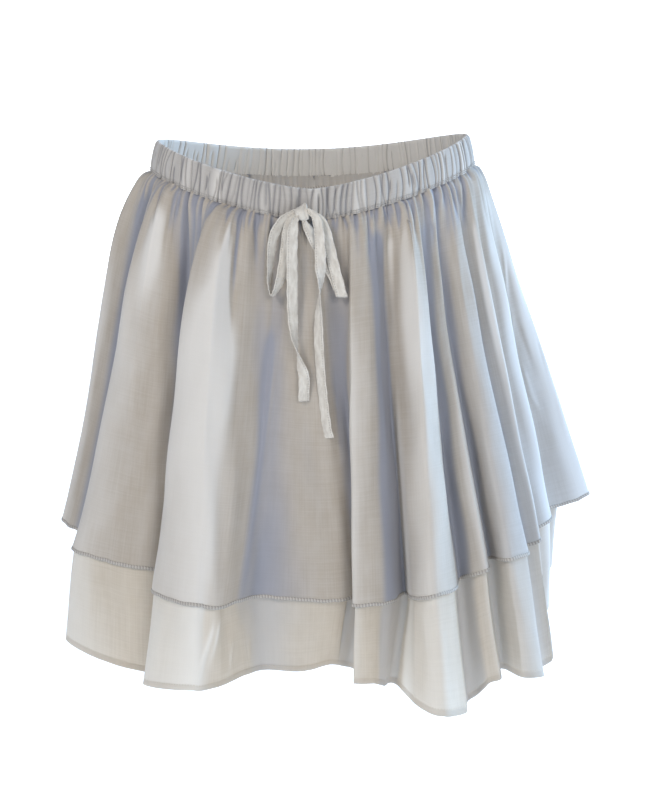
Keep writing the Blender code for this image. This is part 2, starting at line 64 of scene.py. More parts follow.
# The detail and the roughness of cloudy noise.
CLOUDY = (3.0, 0.6)


class Slot(Enum):
    """The record's material slots."""

    BAND = "band_cloth"
    TIER = "tier_cloth"
    UNDER = "under_cloth"
    TAPE = "tape"


class Half(Enum):
    """The two halves of each ring, from one side seam to the other."""

    FRONT = "front"
    BACK = "back"


# Shader graphs


class Signal:
    """A shader socket whose value is worked with as a number."""

    def __init__(self, graph: "Graph", socket: Socket) -> None:
        """Wraps an output socket.

        Args:
            graph: the node tree that the socket belongs to.
            socket: the output socket that carries the value.
        """
        self.graph = graph
        self.socket = socket

    def _math(self, operation: str, first: Number, second: Number) -> "Signal":
        """A Math node on two values."""
        node = self.graph.node("ShaderNodeMath", {"operation": operation}, {0: first, 1: second})
        return Signal(self.graph, node.outputs[0])

    def __add__(self, other: Number) -> "Signal":
        """Self plus other."""
        return self._math("ADD", self, other)

    def __radd__(self, other: Number) -> "Signal":
        """Other plus self."""
        return self._math("ADD", other, self)

    def __sub__(self, other: Number) -> "Signal":
        """Self minus other."""
        return self._math("SUBTRACT", self, other)

    def __rsub__(self, other: Number) -> "Signal":
        """Other minus self."""
        return self._math("SUBTRACT", other, self)

    def __mul__(self, other: Number) -> "Signal":
        """Self times other."""
        return self._math("MULTIPLY", self, other)

    def __rmul__(self, other: Number) -> "Signal":
        """Other times self."""
        return self._math("MULTIPLY", other, self)

    def sine(self) -> "Signal":
        """The sine of self in radians."""
        return self._math("SINE", self, 0.0)

    def wave(self, length: float) -> "Signal":
        """A sine wave of self that repeats after this length."""
        return (self * (2 * math.pi / length)).sine()

    def step(self, low: float, high: float) -> "Signal":
        """Runs smoothly from 0 where self is low to 1 where it is high.

        Args:
            low: the value that gives 0.
            high: the value that gives 1.

        Returns:
            The eased share.
        """
        node = self.graph.node(
            "ShaderNodeMapRange",
            {"interpolation_type": "SMOOTHSTEP", "clamp": True},
            {"Value": self, "From Min": low, "From Max": high, "To Min": 0.0, "To Max": 1.0},
        )
        return Signal(self.graph, node.outputs[0])


class Graph:
    """A material's node tree."""

    def __init__(self, name: str) -> None:
        """Makes an empty material.

        Args:
            name: the material's name.
        """
        self.material = bpy.data.materials.new(name)
        self.material.use_nodes = True
        self.tree = self.material.node_tree
        self.tree.nodes.clear()

    def node(
        self, kind: str, settings: dict | None = None, values: dict | None = None
    ) -> bpy.types.Node:
        """Adds one node.

        Args:
            kind: the node's type.
            settings: its properties, which are set first; "stops" gives a ramp's stops.
            values: a value or a link for each named or numbered input.

        Returns:
            The new node.
        """
        made = self.tree.nodes.new(kind)
        for key, value in (settings or {}).items():
            if key == "stops":
                ramp = made.color_ramp
                while len(ramp.elements) < len(value):
                    ramp.elements.new(0.5)
                for element, (place, colour) in zip(ramp.elements, value):
                    element.position = place
                    element.color = colour
            else:
                setattr(made, key, value)
        for key, value in (values or {}).items():
            socket = made.inputs[key]
            if isinstance(value, Signal):
                self.tree.links.new(value.socket, socket)
            elif isinstance(value, Socket):
                self.tree.links.new(value, socket)
            else:
                socket.default_value = value
        return made

    def cloth_place(self, name: str) -> tuple["Signal", "Signal", Socket]:
        """A UV map's two coordinates, in metres of cloth.

        Args:
            name: the UV map's name.

        Returns:
            The first and second coordinate, and the vector of both.
        """
        place = self.node("ShaderNodeUVMap", {"uv_map": name})
        split = self.node("ShaderNodeSeparateXYZ", None, {0: place.outputs[0]})
        return Signal(self, split.outputs[0]), Signal(self, split.outputs[1]), place.outputs[0]

    def noise(
        self,
        place: Socket,
        across: float,
        down: float,
        detail: float = 2.0,
        roughness: float = 0.5,
    ) -> Signal:
        """Noise over the cloth, from 0 to 1.

        Args:
            place: the place on the cloth.
            across: how often the noise changes in a metre of the first direction.
            down: the same for the second direction.
            detail: how many finer levels it has.
            roughness: how strong those are.

        Returns:
            The noise.
        """
        scale = (across, down, 1.0)
        scaled = self.node("ShaderNodeMapping", {"vector_type": "POINT"}, {"Vector": place, "Scale": scale})
        node = self.node(
            "ShaderNodeTexNoise",
            {"noise_dimensions": "3D"},
            {"Vector": scaled.outputs[0], "Scale": 1.0, "Detail": detail, "Roughness": roughness},
        )
        return Signal(self, node.outputs[0])

    def mixed(self, share: Number, first: object, second: object) -> Socket:
        """A colour between two, at a share of the way."""
        node = self.node("ShaderNodeMix", {"data_type": "RGBA"}, {0: share, 6: first, 7: second})
        return node.outputs[2]

    def bump(self, height: Signal, strength: float, distance: float) -> Socket:
        """A bumped normal for a height in metres times distance."""
        values = {"Strength": strength, "Distance": distance, "Height": height}
        return self.node("ShaderNodeBump", None, values).outputs[0]

    def surface(self, values: dict) -> Socket:
        """A Principled surface with these values and links."""
        return self.node("ShaderNodeBsdfPrincipled", None, values).outputs[0]

    def output(self, shader: Socket) -> bpy.types.Material:
        """Links a shader to the material's surface and gives the material."""
        self.node("ShaderNodeOutputMaterial", None, {"Surface": shader})
        return self.material


@dataclass(frozen=True)
class VoileFinish:
    """Fine washed cotton voile, which lets some light through.

    Its colour runs from painted shade in the folds, through colour and pale on plain cloth, to a painted
    highlight on the crests, with painted blue light on the right-hand side.
    """

    name: str
    colour: Colour = (0.437, 0.377, 0.305, 1.0)
    pale: Colour = (0.512, 0.46, 0.397, 1.0)
    # Painted shade for the folds, then the painted highlight for the crests.
    painted_fold_shade: Colour = (0.27, 0.29, 0.36, 1.0)
    crest: Colour = (0.80, 0.765, 0.71, 1.0)
    doubled: Colour = (0.56, 0.54, 0.51, 1.0)
    through: Colour = (0.66, 0.66, 0.66, 1.0)
    # Painted blue side light for the right-hand side.
    painted_sky_light: Colour = (0.53, 0.59, 0.67, 1.0)
    share_through: float = 0.14
    # How much painted fold shade and crest highlight is mixed in and where, then how much painted blue side
    # light.
    fold_tone: float = 0.75
    crest_tones: Pair = (0.30, 1.15)
    painted_sky_share: float = 0.30
    roughness: float = 0.82
    roughness_spread: float = 0.12
    specular: float = 0.22
    sheen: float = 0.22
    sheen_roughness: float = 0.45
    thread: float = 0.0011
    thread_changes: float = 14.0
    weave_tones: Pair = (0.34, 0.66)
    weave_height: float = 0.00010
    weave_bump: float = 0.55
    slub: float = 0.028
    crinkle: float = 0.012
    slub_tone: float = 0.35
    slub_height: float = 0.6
    turned_hem: float = 0.0
    hem_edge: float = 0.0002
    hem_tone: float = 0.35
    hem_height: float = 1.2
    stitch_length: float = 0.0026
    stitch_share: Pair = (-0.3, 0.5)
    stitch_row_squared: float = 5e-7
    stitch_tone: float = 0.5
    stitch_height: float = 1.5

    def build(self) -> bpy.types.Material:
        """Makes the material, on the UV maps "cloth", "edge" and "fold".

        Returns:
            The finished material.
        """
        graph = Graph(self.name)
        along, _, place = graph.cloth_place("cloth")
        fold, painted_sky_light, _ = graph.cloth_place("fold")
        _, above_hem, _ = graph.cloth_place("edge")
        across_threads = graph.noise(place, 1 / self.thread, self.thread_changes)
        down_threads = graph.noise(place, self.thread_changes, 1 / self.thread)
        slubs = graph.noise(place, 1 / self.crinkle, 1 / self.slub, *CLOUDY)
        threads = across_threads * 0.5 + down_threads * 0.5
        tone = (threads * (1 - self.slub_tone) + slubs * self.slub_tone).step(*self.weave_tones)
        shade = graph.mixed(tone, self.colour, self.pale)
        # Painted shade in the folds and a painted highlight on the crests.
        shade = graph.mixed((1.0 - fold.step(-1.0, 0.0)) * self.fold_tone, shade, self.painted_fold_shade)
        shade = graph.mixed(fold.step(*self.crest_tones) * self.fold_tone, shade, self.crest)
        # Painted blue side light where the cloth takes it.
        shade = graph.mixed(painted_sky_light * self.painted_sky_share, shade, self.painted_sky_light)
        height = threads + slubs * self.slub_height
        if self.turned_hem > 0:
            from_row = above_hem - self.turned_hem
            in_hem = 1.0 - from_row.step(-self.hem_edge, self.hem_edge)
            row = 1.0 - (from_row * from_row).step(0.0, self.stitch_row_squared)
            stitch = along.wave(self.stitch_length).step(*self.stitch_share) * row
            shade = graph.mixed(in_hem * self.hem_tone, shade, self.doubled)
            shade = graph.mixed(stitch * self.stitch_tone, shade, self.pale)
            height = height + stitch * self.stitch_height + in_hem * self.hem_height
        normal = graph.bump(height, self.weave_bump, self.weave_height)
        body = graph.surface(
            {
                "Base Color": shade,
                "Roughness": threads * self.roughness_spread + (self.roughness - self.roughness_spread / 2),
                "Specular IOR Level": self.specular,
                "Sheen Weight": self.sheen,
                "Sheen Roughness": self.sheen_roughness,
                "Sheen Tint": (1.0, 1.0, 1.0, 1.0),
                "Normal": normal,
            }
        )
        light = graph.node("ShaderNodeBsdfTranslucent", None, {"Color": self.through, "Normal": normal})
        mixed = {0: self.share_through, 1: body, 2: light.outputs[0]}
        return graph.output(graph.node("ShaderNodeMixShader", None, mixed).outputs[0])


@dataclass(frozen=True)
class TapeFinish:
    """Flat cotton tape with a row of stitching along one edge."""

    name: str
    colour: Colour = (0.52, 0.475, 0.41, 1.0)
    pale: Colour = (0.67, 0.63, 0.56, 1.0)
    # Painted shade in the dents between the stitches.
    painted_dent_shade: Colour = (0.34, 0.305, 0.265, 1.0)
    width: float = 0.0092
    weave: float = 900.0
    clouds: Pair = (90.0, 260.0)
    cloud_tones: Pair = (0.30, 0.72)
    cloud_height: float = 1.2
    stitch_length: float = 0.0022
    stitch_share: Pair = (-0.2, 0.5)
    row_inset: float = 0.0014
    row_squared: float = 2.2e-7
    row_tone: float = 0.75
    row_depth: float = 2.0
    roughness: float = 0.78
    roughness_spread: float = 0.1
    bump_strength: float = 0.6
    bump_height: float = 0.00014

    def build(self) -> bpy.types.Material:
        """Makes the material, on the UV map "cloth": along the tape and across it."""
        graph = Graph(self.name)
        along, across, place = graph.cloth_place("cloth")
        weave = graph.noise(place, self.weave, self.weave)
        cloudy = graph.noise(place, *self.clouds, *CLOUDY)
        from_row = across - (self.width / 2 - self.row_inset)
        row = 1.0 - (from_row * from_row).step(0.0, self.row_squared)
        gaps = row * (1.0 - along.wave(self.stitch_length).step(*self.stitch_share))
        shade = graph.mixed(cloudy.step(*self.cloud_tones), self.colour, self.pale)
        # Painted shade in the dents between the stitches of the sewn row.
        shade = graph.mixed(gaps * self.row_tone, shade, self.painted_dent_shade)
        height = weave + cloudy * self.cloud_height - gaps * self.row_depth
        body = graph.surface(
            {
                "Base Color": shade,
                "Roughness": weave * self.roughness_spread + self.roughness,
                "Specular IOR Level": 0.25,
                "Sheen Weight": 0.2,
                "Sheen Roughness": 0.5,
                "Normal": graph.bump(height, self.bump_strength, self.bump_height),
            }
        )
        return graph.output(body)


@dataclass(frozen=True)
class OverlockFinish:
    """Fine overlocking threads wrapped round an edge of cloth."""

    name: str
    colour: Colour = (0.32, 0.29, 0.26, 1.0)
    pale: Colour = (0.48, 0.445, 0.395, 1.0)
    stitch_length: float = 0.0026
    slant: float = 0.35
    fuzz: Pair = (700.0, 1400.0)
    tones: Pair = (0.25, 0.85)
    roughness: float = 0.7
    roughness_spread: float = 0.2
    bump_strength: float = 0.7
    bump_height: float = 0.00025

    def build(self) -> bpy.types.Material:
        """Makes the material, on the UV map "cloth": along the edge and across it."""
        graph = Graph(self.name)
        along, across, place = graph.cloth_place("cloth")
        fuzz = graph.noise(place, *self.fuzz, *CLOUDY)
        threads = (along + across * self.slant).wave(self.stitch_length) * 0.5 + 0.5
        tone = (threads * 0.6 + fuzz * 0.5).step(*self.tones)
        body = graph.surface(
            {
                "Base Color": graph.mixed(tone, self.colour, self.pale),
                "Roughness": fuzz * self.roughness_spread + self.roughness,
                "Specular IOR Level": 0.25,
                "Sheen Weight": 0.15,
                "Normal": graph.bump(threads + fuzz * 0.6, self.bump_strength, self.bump_height),
            }
        )
        return graph.output(body)


@dataclass(frozen=True)
class BoardFinish:
    """Matt white of the studio's floor and wall, which glows a little."""

    name: str
    glow: float
    colour: Colour = (0.93, 0.93, 0.93, 1.0)
    roughness: float = 0.9

    def build(self) -> bpy.types.Material:
        """Makes the material."""
        graph = Graph(self.name)
        body = graph.surface(
            {
                "Base Color": self.colour,
                "Roughness": self.roughness,
                "Emission Color": (1.0, 1.0, 1.0, 1.0),
                "Emission Strength": self.glow,
            }
        )
        return graph.output(body)


# Mesh helpers


def strip(
    name: str,
    points: Array,
    cloth: Array,
    material: bpy.types.Material,
    edge: Array | None = None,
    fold: Array | None = None,
    closed: bool = False,
) -> bpy.types.Object:
    """A sheet of quads from a bmesh grid, each vertex moved to its place.

    Args:
        name: the piece's name.
        points: places [row, column, xyz].
        cloth: the UV map "cloth", metres of cloth [row, column, 2].
        material: the piece's finish.
        edge: the UV map "edge", metres from the top seam and from the hem.
        fold: the painted shading of each place, below 0 for painted shade in a fold and above 0 for
        a painted highlight on a crest, and where it has two parts [row, column, 2], how much painted
        blue side light it takes, from 0 to 1.
        closed: whether the last row lies on the first, so that the strip is a tube. Its open
            ends are then filled and its faces turned outwards.

    Returns:
        The new object, at the origin.
    """
    rows, columns = points.shape[:2]
    mesh = bmesh.new()
    bmesh.ops.create_grid(mesh, x_segments=columns - 1, y_segments=rows - 1, size=1.0)
    data = bpy.data.meshes.new(name)
    mesh.to_mesh(data)
    mesh.free()
    data.vertices.foreach_set("co", points.reshape(-1).astype(np.float32))
    corner = np.empty(len(data.loops), np.int32)
    data.loops.foreach_get("vertex_index", corner)
    if fold is not None and fold.ndim == 2:
        fold = np.stack([fold, np.zeros(fold.shape)], axis=-1)
    for label, values in (("cloth", cloth), ("edge", edge), ("fold", fold)):
        if values is not None:
            layer = data.uv_layers.new(name=label)
            layer.uv.foreach_set("vector", values.reshape(-1, 2)[corner].reshape(-1).astype(np.float32))
    mesh = bmesh.new()
    mesh.from_mesh(data)
    if closed:
        bmesh.ops.remove_doubles(mesh, verts=mesh.verts, dist=1e-7)
    for face in mesh.faces:
        face.smooth = True
    if closed:
        ends = [edge for edge in mesh.edges if edge.is_boundary]
        bmesh.ops.holes_fill(mesh, edges=ends, sides=0)
        bmesh.ops.recalc_face_normals(mesh, faces=mesh.faces)
    mesh.to_mesh(data)
    mesh.free()
    data.materials.append(material)
    made = bpy.data.objects.new(name, data)
    bpy.context.scene.collection.objects.link(made)
    return made


def ride(obj: bpy.types.Object, slot: Slot, *nodes: str) -> bpy.types.Object:
    """Makes a piece ride the skirt and stand for its CAD nodes, which it hides.

    Args:
        obj: the piece.
        slot: its material slot, which is not used.
        nodes: the CAD nodes that it replaces.

    Returns:
        The same piece.
    """
    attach(obj, BODY)
    if nodes:
        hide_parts(*nodes)
    log.info("%s: %d faces", obj.name, len(obj.data.polygons))
    return obj


def unit(vectors: Array) -> Array:
    """Vectors scaled to a length of one."""
    return vectors / np.maximum(np.linalg.norm(vectors, axis=-1, keepdims=True), 1e-12)


def ring_normals(rows: Array) -> Array:
    """Outward plan normals of closed rings of points [row, column, xyz]."""
    along = np.roll(rows, -1, axis=1) - np.roll(rows, 1, axis=1)
    return unit(np.stack([along[..., 1], -along[..., 0], np.zeros(along.shape[:2])], axis=-1))


def eased(value: Array) -> Array:
    """A smooth step from 0 to 1 over the same range."""
    share = np.clip(value, 0.0, 1.0)
    return share * share * (3 - 2 * share)


def wave(places: Array, length: float, phase: float = 0.0) -> Array:
    """A sine wave along places that repeats after this length."""
    return np.sin(places * 2 * math.pi / length + phase)


def squared_off(value: Array, power: float) -> Array:
    """A sine or cosine whose round is filled out towards a square."""
    return np.sign(value) * np.abs(value) ** power


def run_lengths(line: Array) -> Array:
    """Length along a line to each of its points."""
    return np.concatenate([[0.0], np.cumsum(np.linalg.norm(np.diff(line, axis=0), axis=1))])


def plain_map(along: Array, across: Array) -> Array:
    """A UV map [row, column, 2] from a place for each column and one for each row."""
    shape = (len(across), len(along))
    return np.stack([np.broadcast_to(along, shape), np.broadcast_to(across[:, None], shape)], axis=-1)


def between(near: list[Array], steps: int, axes: int) -> list[Array]:
    """Points on a centripetal curve from the second of four points to the third.

    Args:
        near: the four points.
        steps: how many points to give; the third point isn't one of them.
        axes: how many leading coordinates count in the spans.

    Returns:
        The points.
    """
    spans = [math.sqrt(np.linalg.norm((b - a)[:axes])) for a, b in zip(near, near[1:])]
    at = np.concatenate([[0.0], np.cumsum(spans)])
    curve = []
    for share in np.arange(steps) / steps:
        t = at[1] + share * (at[2] - at[1])
        level = list(near)
        for reach in (1, 2):
            level = [
                ((at[k + reach] - t) * level[k] + (t - at[k]) * level[k + 1]) / (at[k + reach] - at[k])
                for k in range(len(level) - 1)
            ]
        curve.append(((at[2] - t) * level[0] + (t - at[1]) * level[1]) / (at[2] - at[1]))
    return curve


def closed_curve(points: Array, steps: int) -> Array:
    """A smooth closed curve through points, with steps points for each."""
    count = len(points)
    curve: list[Array] = []
    for index in range(count):
        near = [points[(index + offset) % count] for offset in (-1, 0, 1, 2)]
        curve.extend(between(near, steps, 2))
    return np.array(curve)


def open_curve(points: Array, steps: int, axes: int) -> Array:
    """A smooth curve from the first point to the last."""
    padded = [2 * points[0] - points[1], *points, 2 * points[-1] - points[-2]]
    curve: list[Array] = []
    for index in range(len(points) - 1):
        curve.extend(between(padded[index : index + 4], steps, axes))
    return np.array([*curve, points[-1]])


# The skirt's form


class Knot(NamedTuple):
    """One crest, flank or valley of the folds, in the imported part's own values."""

    waist: float
    x: float
    y: float
    ease: float
    puff: float
    tier: float
    step_x: float
    step_y: float
    under: float
    tuck: float = 0.0


KNOTS: tuple[Knot, ...] = (
    Knot(-90, -0.229, 0.020, 0.98, 0.15, 0.340, -0.002, 0.004, 0.423, 0.014),
    Knot(-74, -0.205, -0.008, 1.12, 0.02, 0.332, -0.006, 0.002, 0.418, 0.006),
    Knot(-63, -0.213, -0.040, 1.05, 0.11, 0.339, -0.013, 0.000, 0.425),
    Knot(-58, -0.180, -0.066, 0.92, 0.10, 0.334, -0.002, -0.012, 0.424),
    Knot(-53, -0.144, -0.078, 1.00, 0.04, 0.329, 0.000, -0.012, 0.421),
    Knot(-48, -0.121, -0.073, 1.20, -0.10, 0.328, -0.004, -0.010, 0.421),
    Knot(-33, -0.138, -0.102, 0.75, 0.12, 0.341, -0.012, -0.010, 0.423),
    Knot(-28, -0.100, -0.136, 0.76, 0.10, 0.337, -0.009, -0.010, 0.411),
    Knot(-20, -0.079, -0.133, 1.20, 0.00, 0.332, -0.003, -0.004, 0.402),
    Knot(-14, -0.065, -0.121, 2.10, 0.00, 0.327, 0.008, 0.002, 0.395),
    Knot(-9, -0.048, -0.103, 1.25, -0.08, 0.325, 0.004, 0.001, 0.393),
    Knot(-4, -0.012, -0.105, 1.10, -0.06, 0.325, 0.000, 0.002, 0.392),
    Knot(1, 0.022, -0.106, 1.00, 0.00, 0.325, -0.008, 0.007, 0.386),
    Knot(8, 0.041, -0.096, 1.20, -0.10, 0.327, -0.011, 0.003, 0.397),
    Knot(12.5, 0.032, -0.125, 0.82, 0.06, 0.330, 0.001, -0.001, 0.400),
    Knot(17.5, 0.051, -0.127, 0.84, 0.05, 0.331, 0.000, -0.002, 0.401),
    Knot(21, 0.066, -0.116, 0.92, 0.00, 0.332, -0.005, -0.007, 0.406),
    Knot(25, 0.077, -0.093, 1.25, -0.12, 0.334, -0.011, -0.012, 0.413),
    Knot(29.5, 0.083, -0.120, 1.05, -0.03, 0.333, 0.001, -0.018, 0.424),
    Knot(33, 0.100, -0.137, 0.84, 0.06, 0.333, 0.010, -0.018, 0.437),
    Knot(36.5, 0.118, -0.121, 1.00, 0.07, 0.333, 0.012, -0.012, 0.441),
    Knot(39.5, 0.124, -0.088, 1.25, -0.04, 0.332, 0.011, -0.010, 0.443),
    Knot(43, 0.136, -0.100, 1.2, -0.02, 0.328, 0.012, -0.005, 0.426),
    Knot(45.8, 0.147, -0.101, 1.22, -0.02, 0.327, 0.014, -0.006, 0.425),
    Knot(48.3, 0.150, -0.072, 1.25, -0.06, 0.325, 0.013, -0.006, 0.425),
    Knot(53, 0.165, -0.097, 1.08, 0.00, 0.323, 0.012, -0.011, 0.428),
    Knot(57, 0.183, -0.084, 1.06, -0.01, 0.327, 0.018, -0.012, 0.436),
    Knot(60.5, 0.182, -0.056, 1.20, -0.08, 0.327, 0.019, -0.004, 0.442),
    Knot(65.5, 0.197, -0.054, 1.0, 0.02, 0.327, 0.016, 0.003, 0.440),
    Knot(71, 0.192, -0.028, 1.10, 0.00, 0.326, 0.009, 0.004, 0.422),
    Knot(77.5, 0.211, -0.010, 0.94, 0.02, 0.325, 0.002, 0.004, 0.410),
    Knot(85, 0.207, 0.022, 1.04, 0.02, 0.328, -0.004, 0.004, 0.404),
    Knot(95, 0.251, 0.048, 0.94, 0.00, 0.338, -0.004, 0.004, 0.402, 0.030),
    Knot(107, 0.210, 0.068, 0.98, 0.02, 0.330, -0.004, 0.006, 0.402, 0.004),
    Knot(116, 0.214, 0.103, 0.84, 0.01, 0.330, -0.002, 0.008, 0.410),
    Knot(127, 0.168, 0.098, 1.14, -0.06, 0.328, 0.002, 0.006, 0.410),
    Knot(134, 0.173, 0.133, 0.80, 0.06, 0.332, 0.006, 0.012, 0.420),
    Knot(141, 0.142, 0.146, 0.84, 0.05, 0.333, 0.004, 0.012, 0.420),
    Knot(148, 0.121, 0.111, 1.14, -0.07, 0.328, 0.002, 0.006, 0.410),
    Knot(155, 0.101, 0.149, 0.80, 0.04, 0.331, 0.002, 0.012, 0.412),
    Knot(163, 0.072, 0.110, 1.10, -0.05, 0.328, -0.002, 0.004, 0.400),
    Knot(170, 0.052, 0.143, 0.80, 0.05, 0.329, 0.000, 0.008, 0.400),
    Knot(176, 0.021, 0.147, 0.86, 0.03, 0.329, 0.000, 0.008, 0.398),
    Knot(184, -0.001, 0.106, 1.12, -0.07, 0.326, 0.000, 0.004, 0.396),
    Knot(192, -0.021, 0.144, 0.78, 0.06, 0.329, -0.002, 0.008, 0.402),
    Knot(200, -0.045, 0.108, 1.12, -0.06, 0.327, 0.000, 0.004, 0.402),
    Knot(210, -0.082, 0.152, 0.78, 0.07, 0.331, -0.004, 0.012, 0.410),
    Knot(222, -0.113, 0.107, 1.12, -0.04, 0.329, -0.002, 0.006, 0.410),
    Knot(229, -0.143, 0.143, 0.84, 0.08, 0.333, -0.006, 0.012, 0.418),
    Knot(237, -0.153, 0.101, 1.04, 0.05, 0.330, -0.004, 0.006, 0.412),
    Knot(244, -0.187, 0.121, 0.87, 0.09, 0.334, -0.008, 0.010, 0.420),
    Knot(250, -0.207, 0.094, 0.90, 0.07, 0.335, -0.008, 0.008, 0.420),
    Knot(256, -0.193, 0.066, 1.12, 0.00, 0.332, -0.004, 0.006, 0.416),
    Knot(262, -0.214, 0.047, 0.92, 0.12, 0.335, -0.006, 0.004, 0.420),
)


@dataclass(frozen=True)
class Waist:
    """The oval that the open waist keeps, and the sag of its band between the sides."""

    height: float = 0.026
    wall: float = 0.0032
    top_half_width: float = 0.1325
    foot_half_width: float = 0.1385
    top_half_depth: float = 0.082
    foot_half_depth: float = 0.085
    pinch: float = 0.25
    centre_x: float = -0.0018
    front_sag: float = 0.030
    back_sag: float = 0.0225
    front_sag_power: float = 1.35
    back_sag_power: float = 2.0
    side_tilt: float = 0.0025
    piece_gap: float = 0.0003

    def oval(self, degrees: Array, half_width: float, half_depth: float) -> Array:
        """Plan points of an oval whose ends are a little sharper than an ellipse's."""
        turn = np.radians(degrees)
        across = self.centre_x + half_width * np.sin(turn)
        along = -half_depth * np.cos(turn) * np.abs(np.cos(turn)) ** self.pinch
        return np.stack([across, along], axis=-1)

    def outward(self, degrees: Array, half_width: float, half_depth: float) -> Array:
        """Outward plan normals of that oval."""
        ahead = self.oval(degrees + 1.0, half_width, half_depth)
        along = ahead - self.oval(degrees - 1.0, half_width, half_depth)
        return unit(np.stack([along[..., 1], -along[..., 0]], axis=-1))

    def top(self, degrees: Array) -> Array:
        """Height of the band's top edge."""
        turn = np.radians(degrees)
        side = np.sin(turn)
        front = np.cos(turn) > 0
        sag = np.where(front, self.front_sag, self.back_sag)
        power = np.where(front, self.front_sag_power, self.back_sag_power)
        return self.height / 2 + self.side_tilt * side - sag * (1 - np.abs(side) ** power)

    def foot(self, degrees: Array) -> Array:
        """Height of the cloth's top edge, just under the band."""
        return self.top(degrees) - self.height - self.piece_gap

    def foot_oval(self, degrees: Array) -> Array:
        """Plan points of the band's foot."""
        return self.oval(degrees, self.foot_half_width, self.foot_half_depth)

    def foot_outward(self, degrees: Array) -> Array:
        """Outward plan normals of the band's foot."""
        return self.outward(degrees, self.foot_half_width, self.foot_half_depth)


class Crease(NamedTuple):
    """One soft trough or ridge of the cloth.

    Degrees at the waist at its two ends, the drops where it starts and ends in millimetres, its
    height (a trough is negative) and half widths at the two ends in millimetres, and how much
    steeper its left-hand flank is.
    """

    at: float
    to: float
    start: float
    end: float
    height: float
    width: float
    width_end: float
    skew: float = 0.0


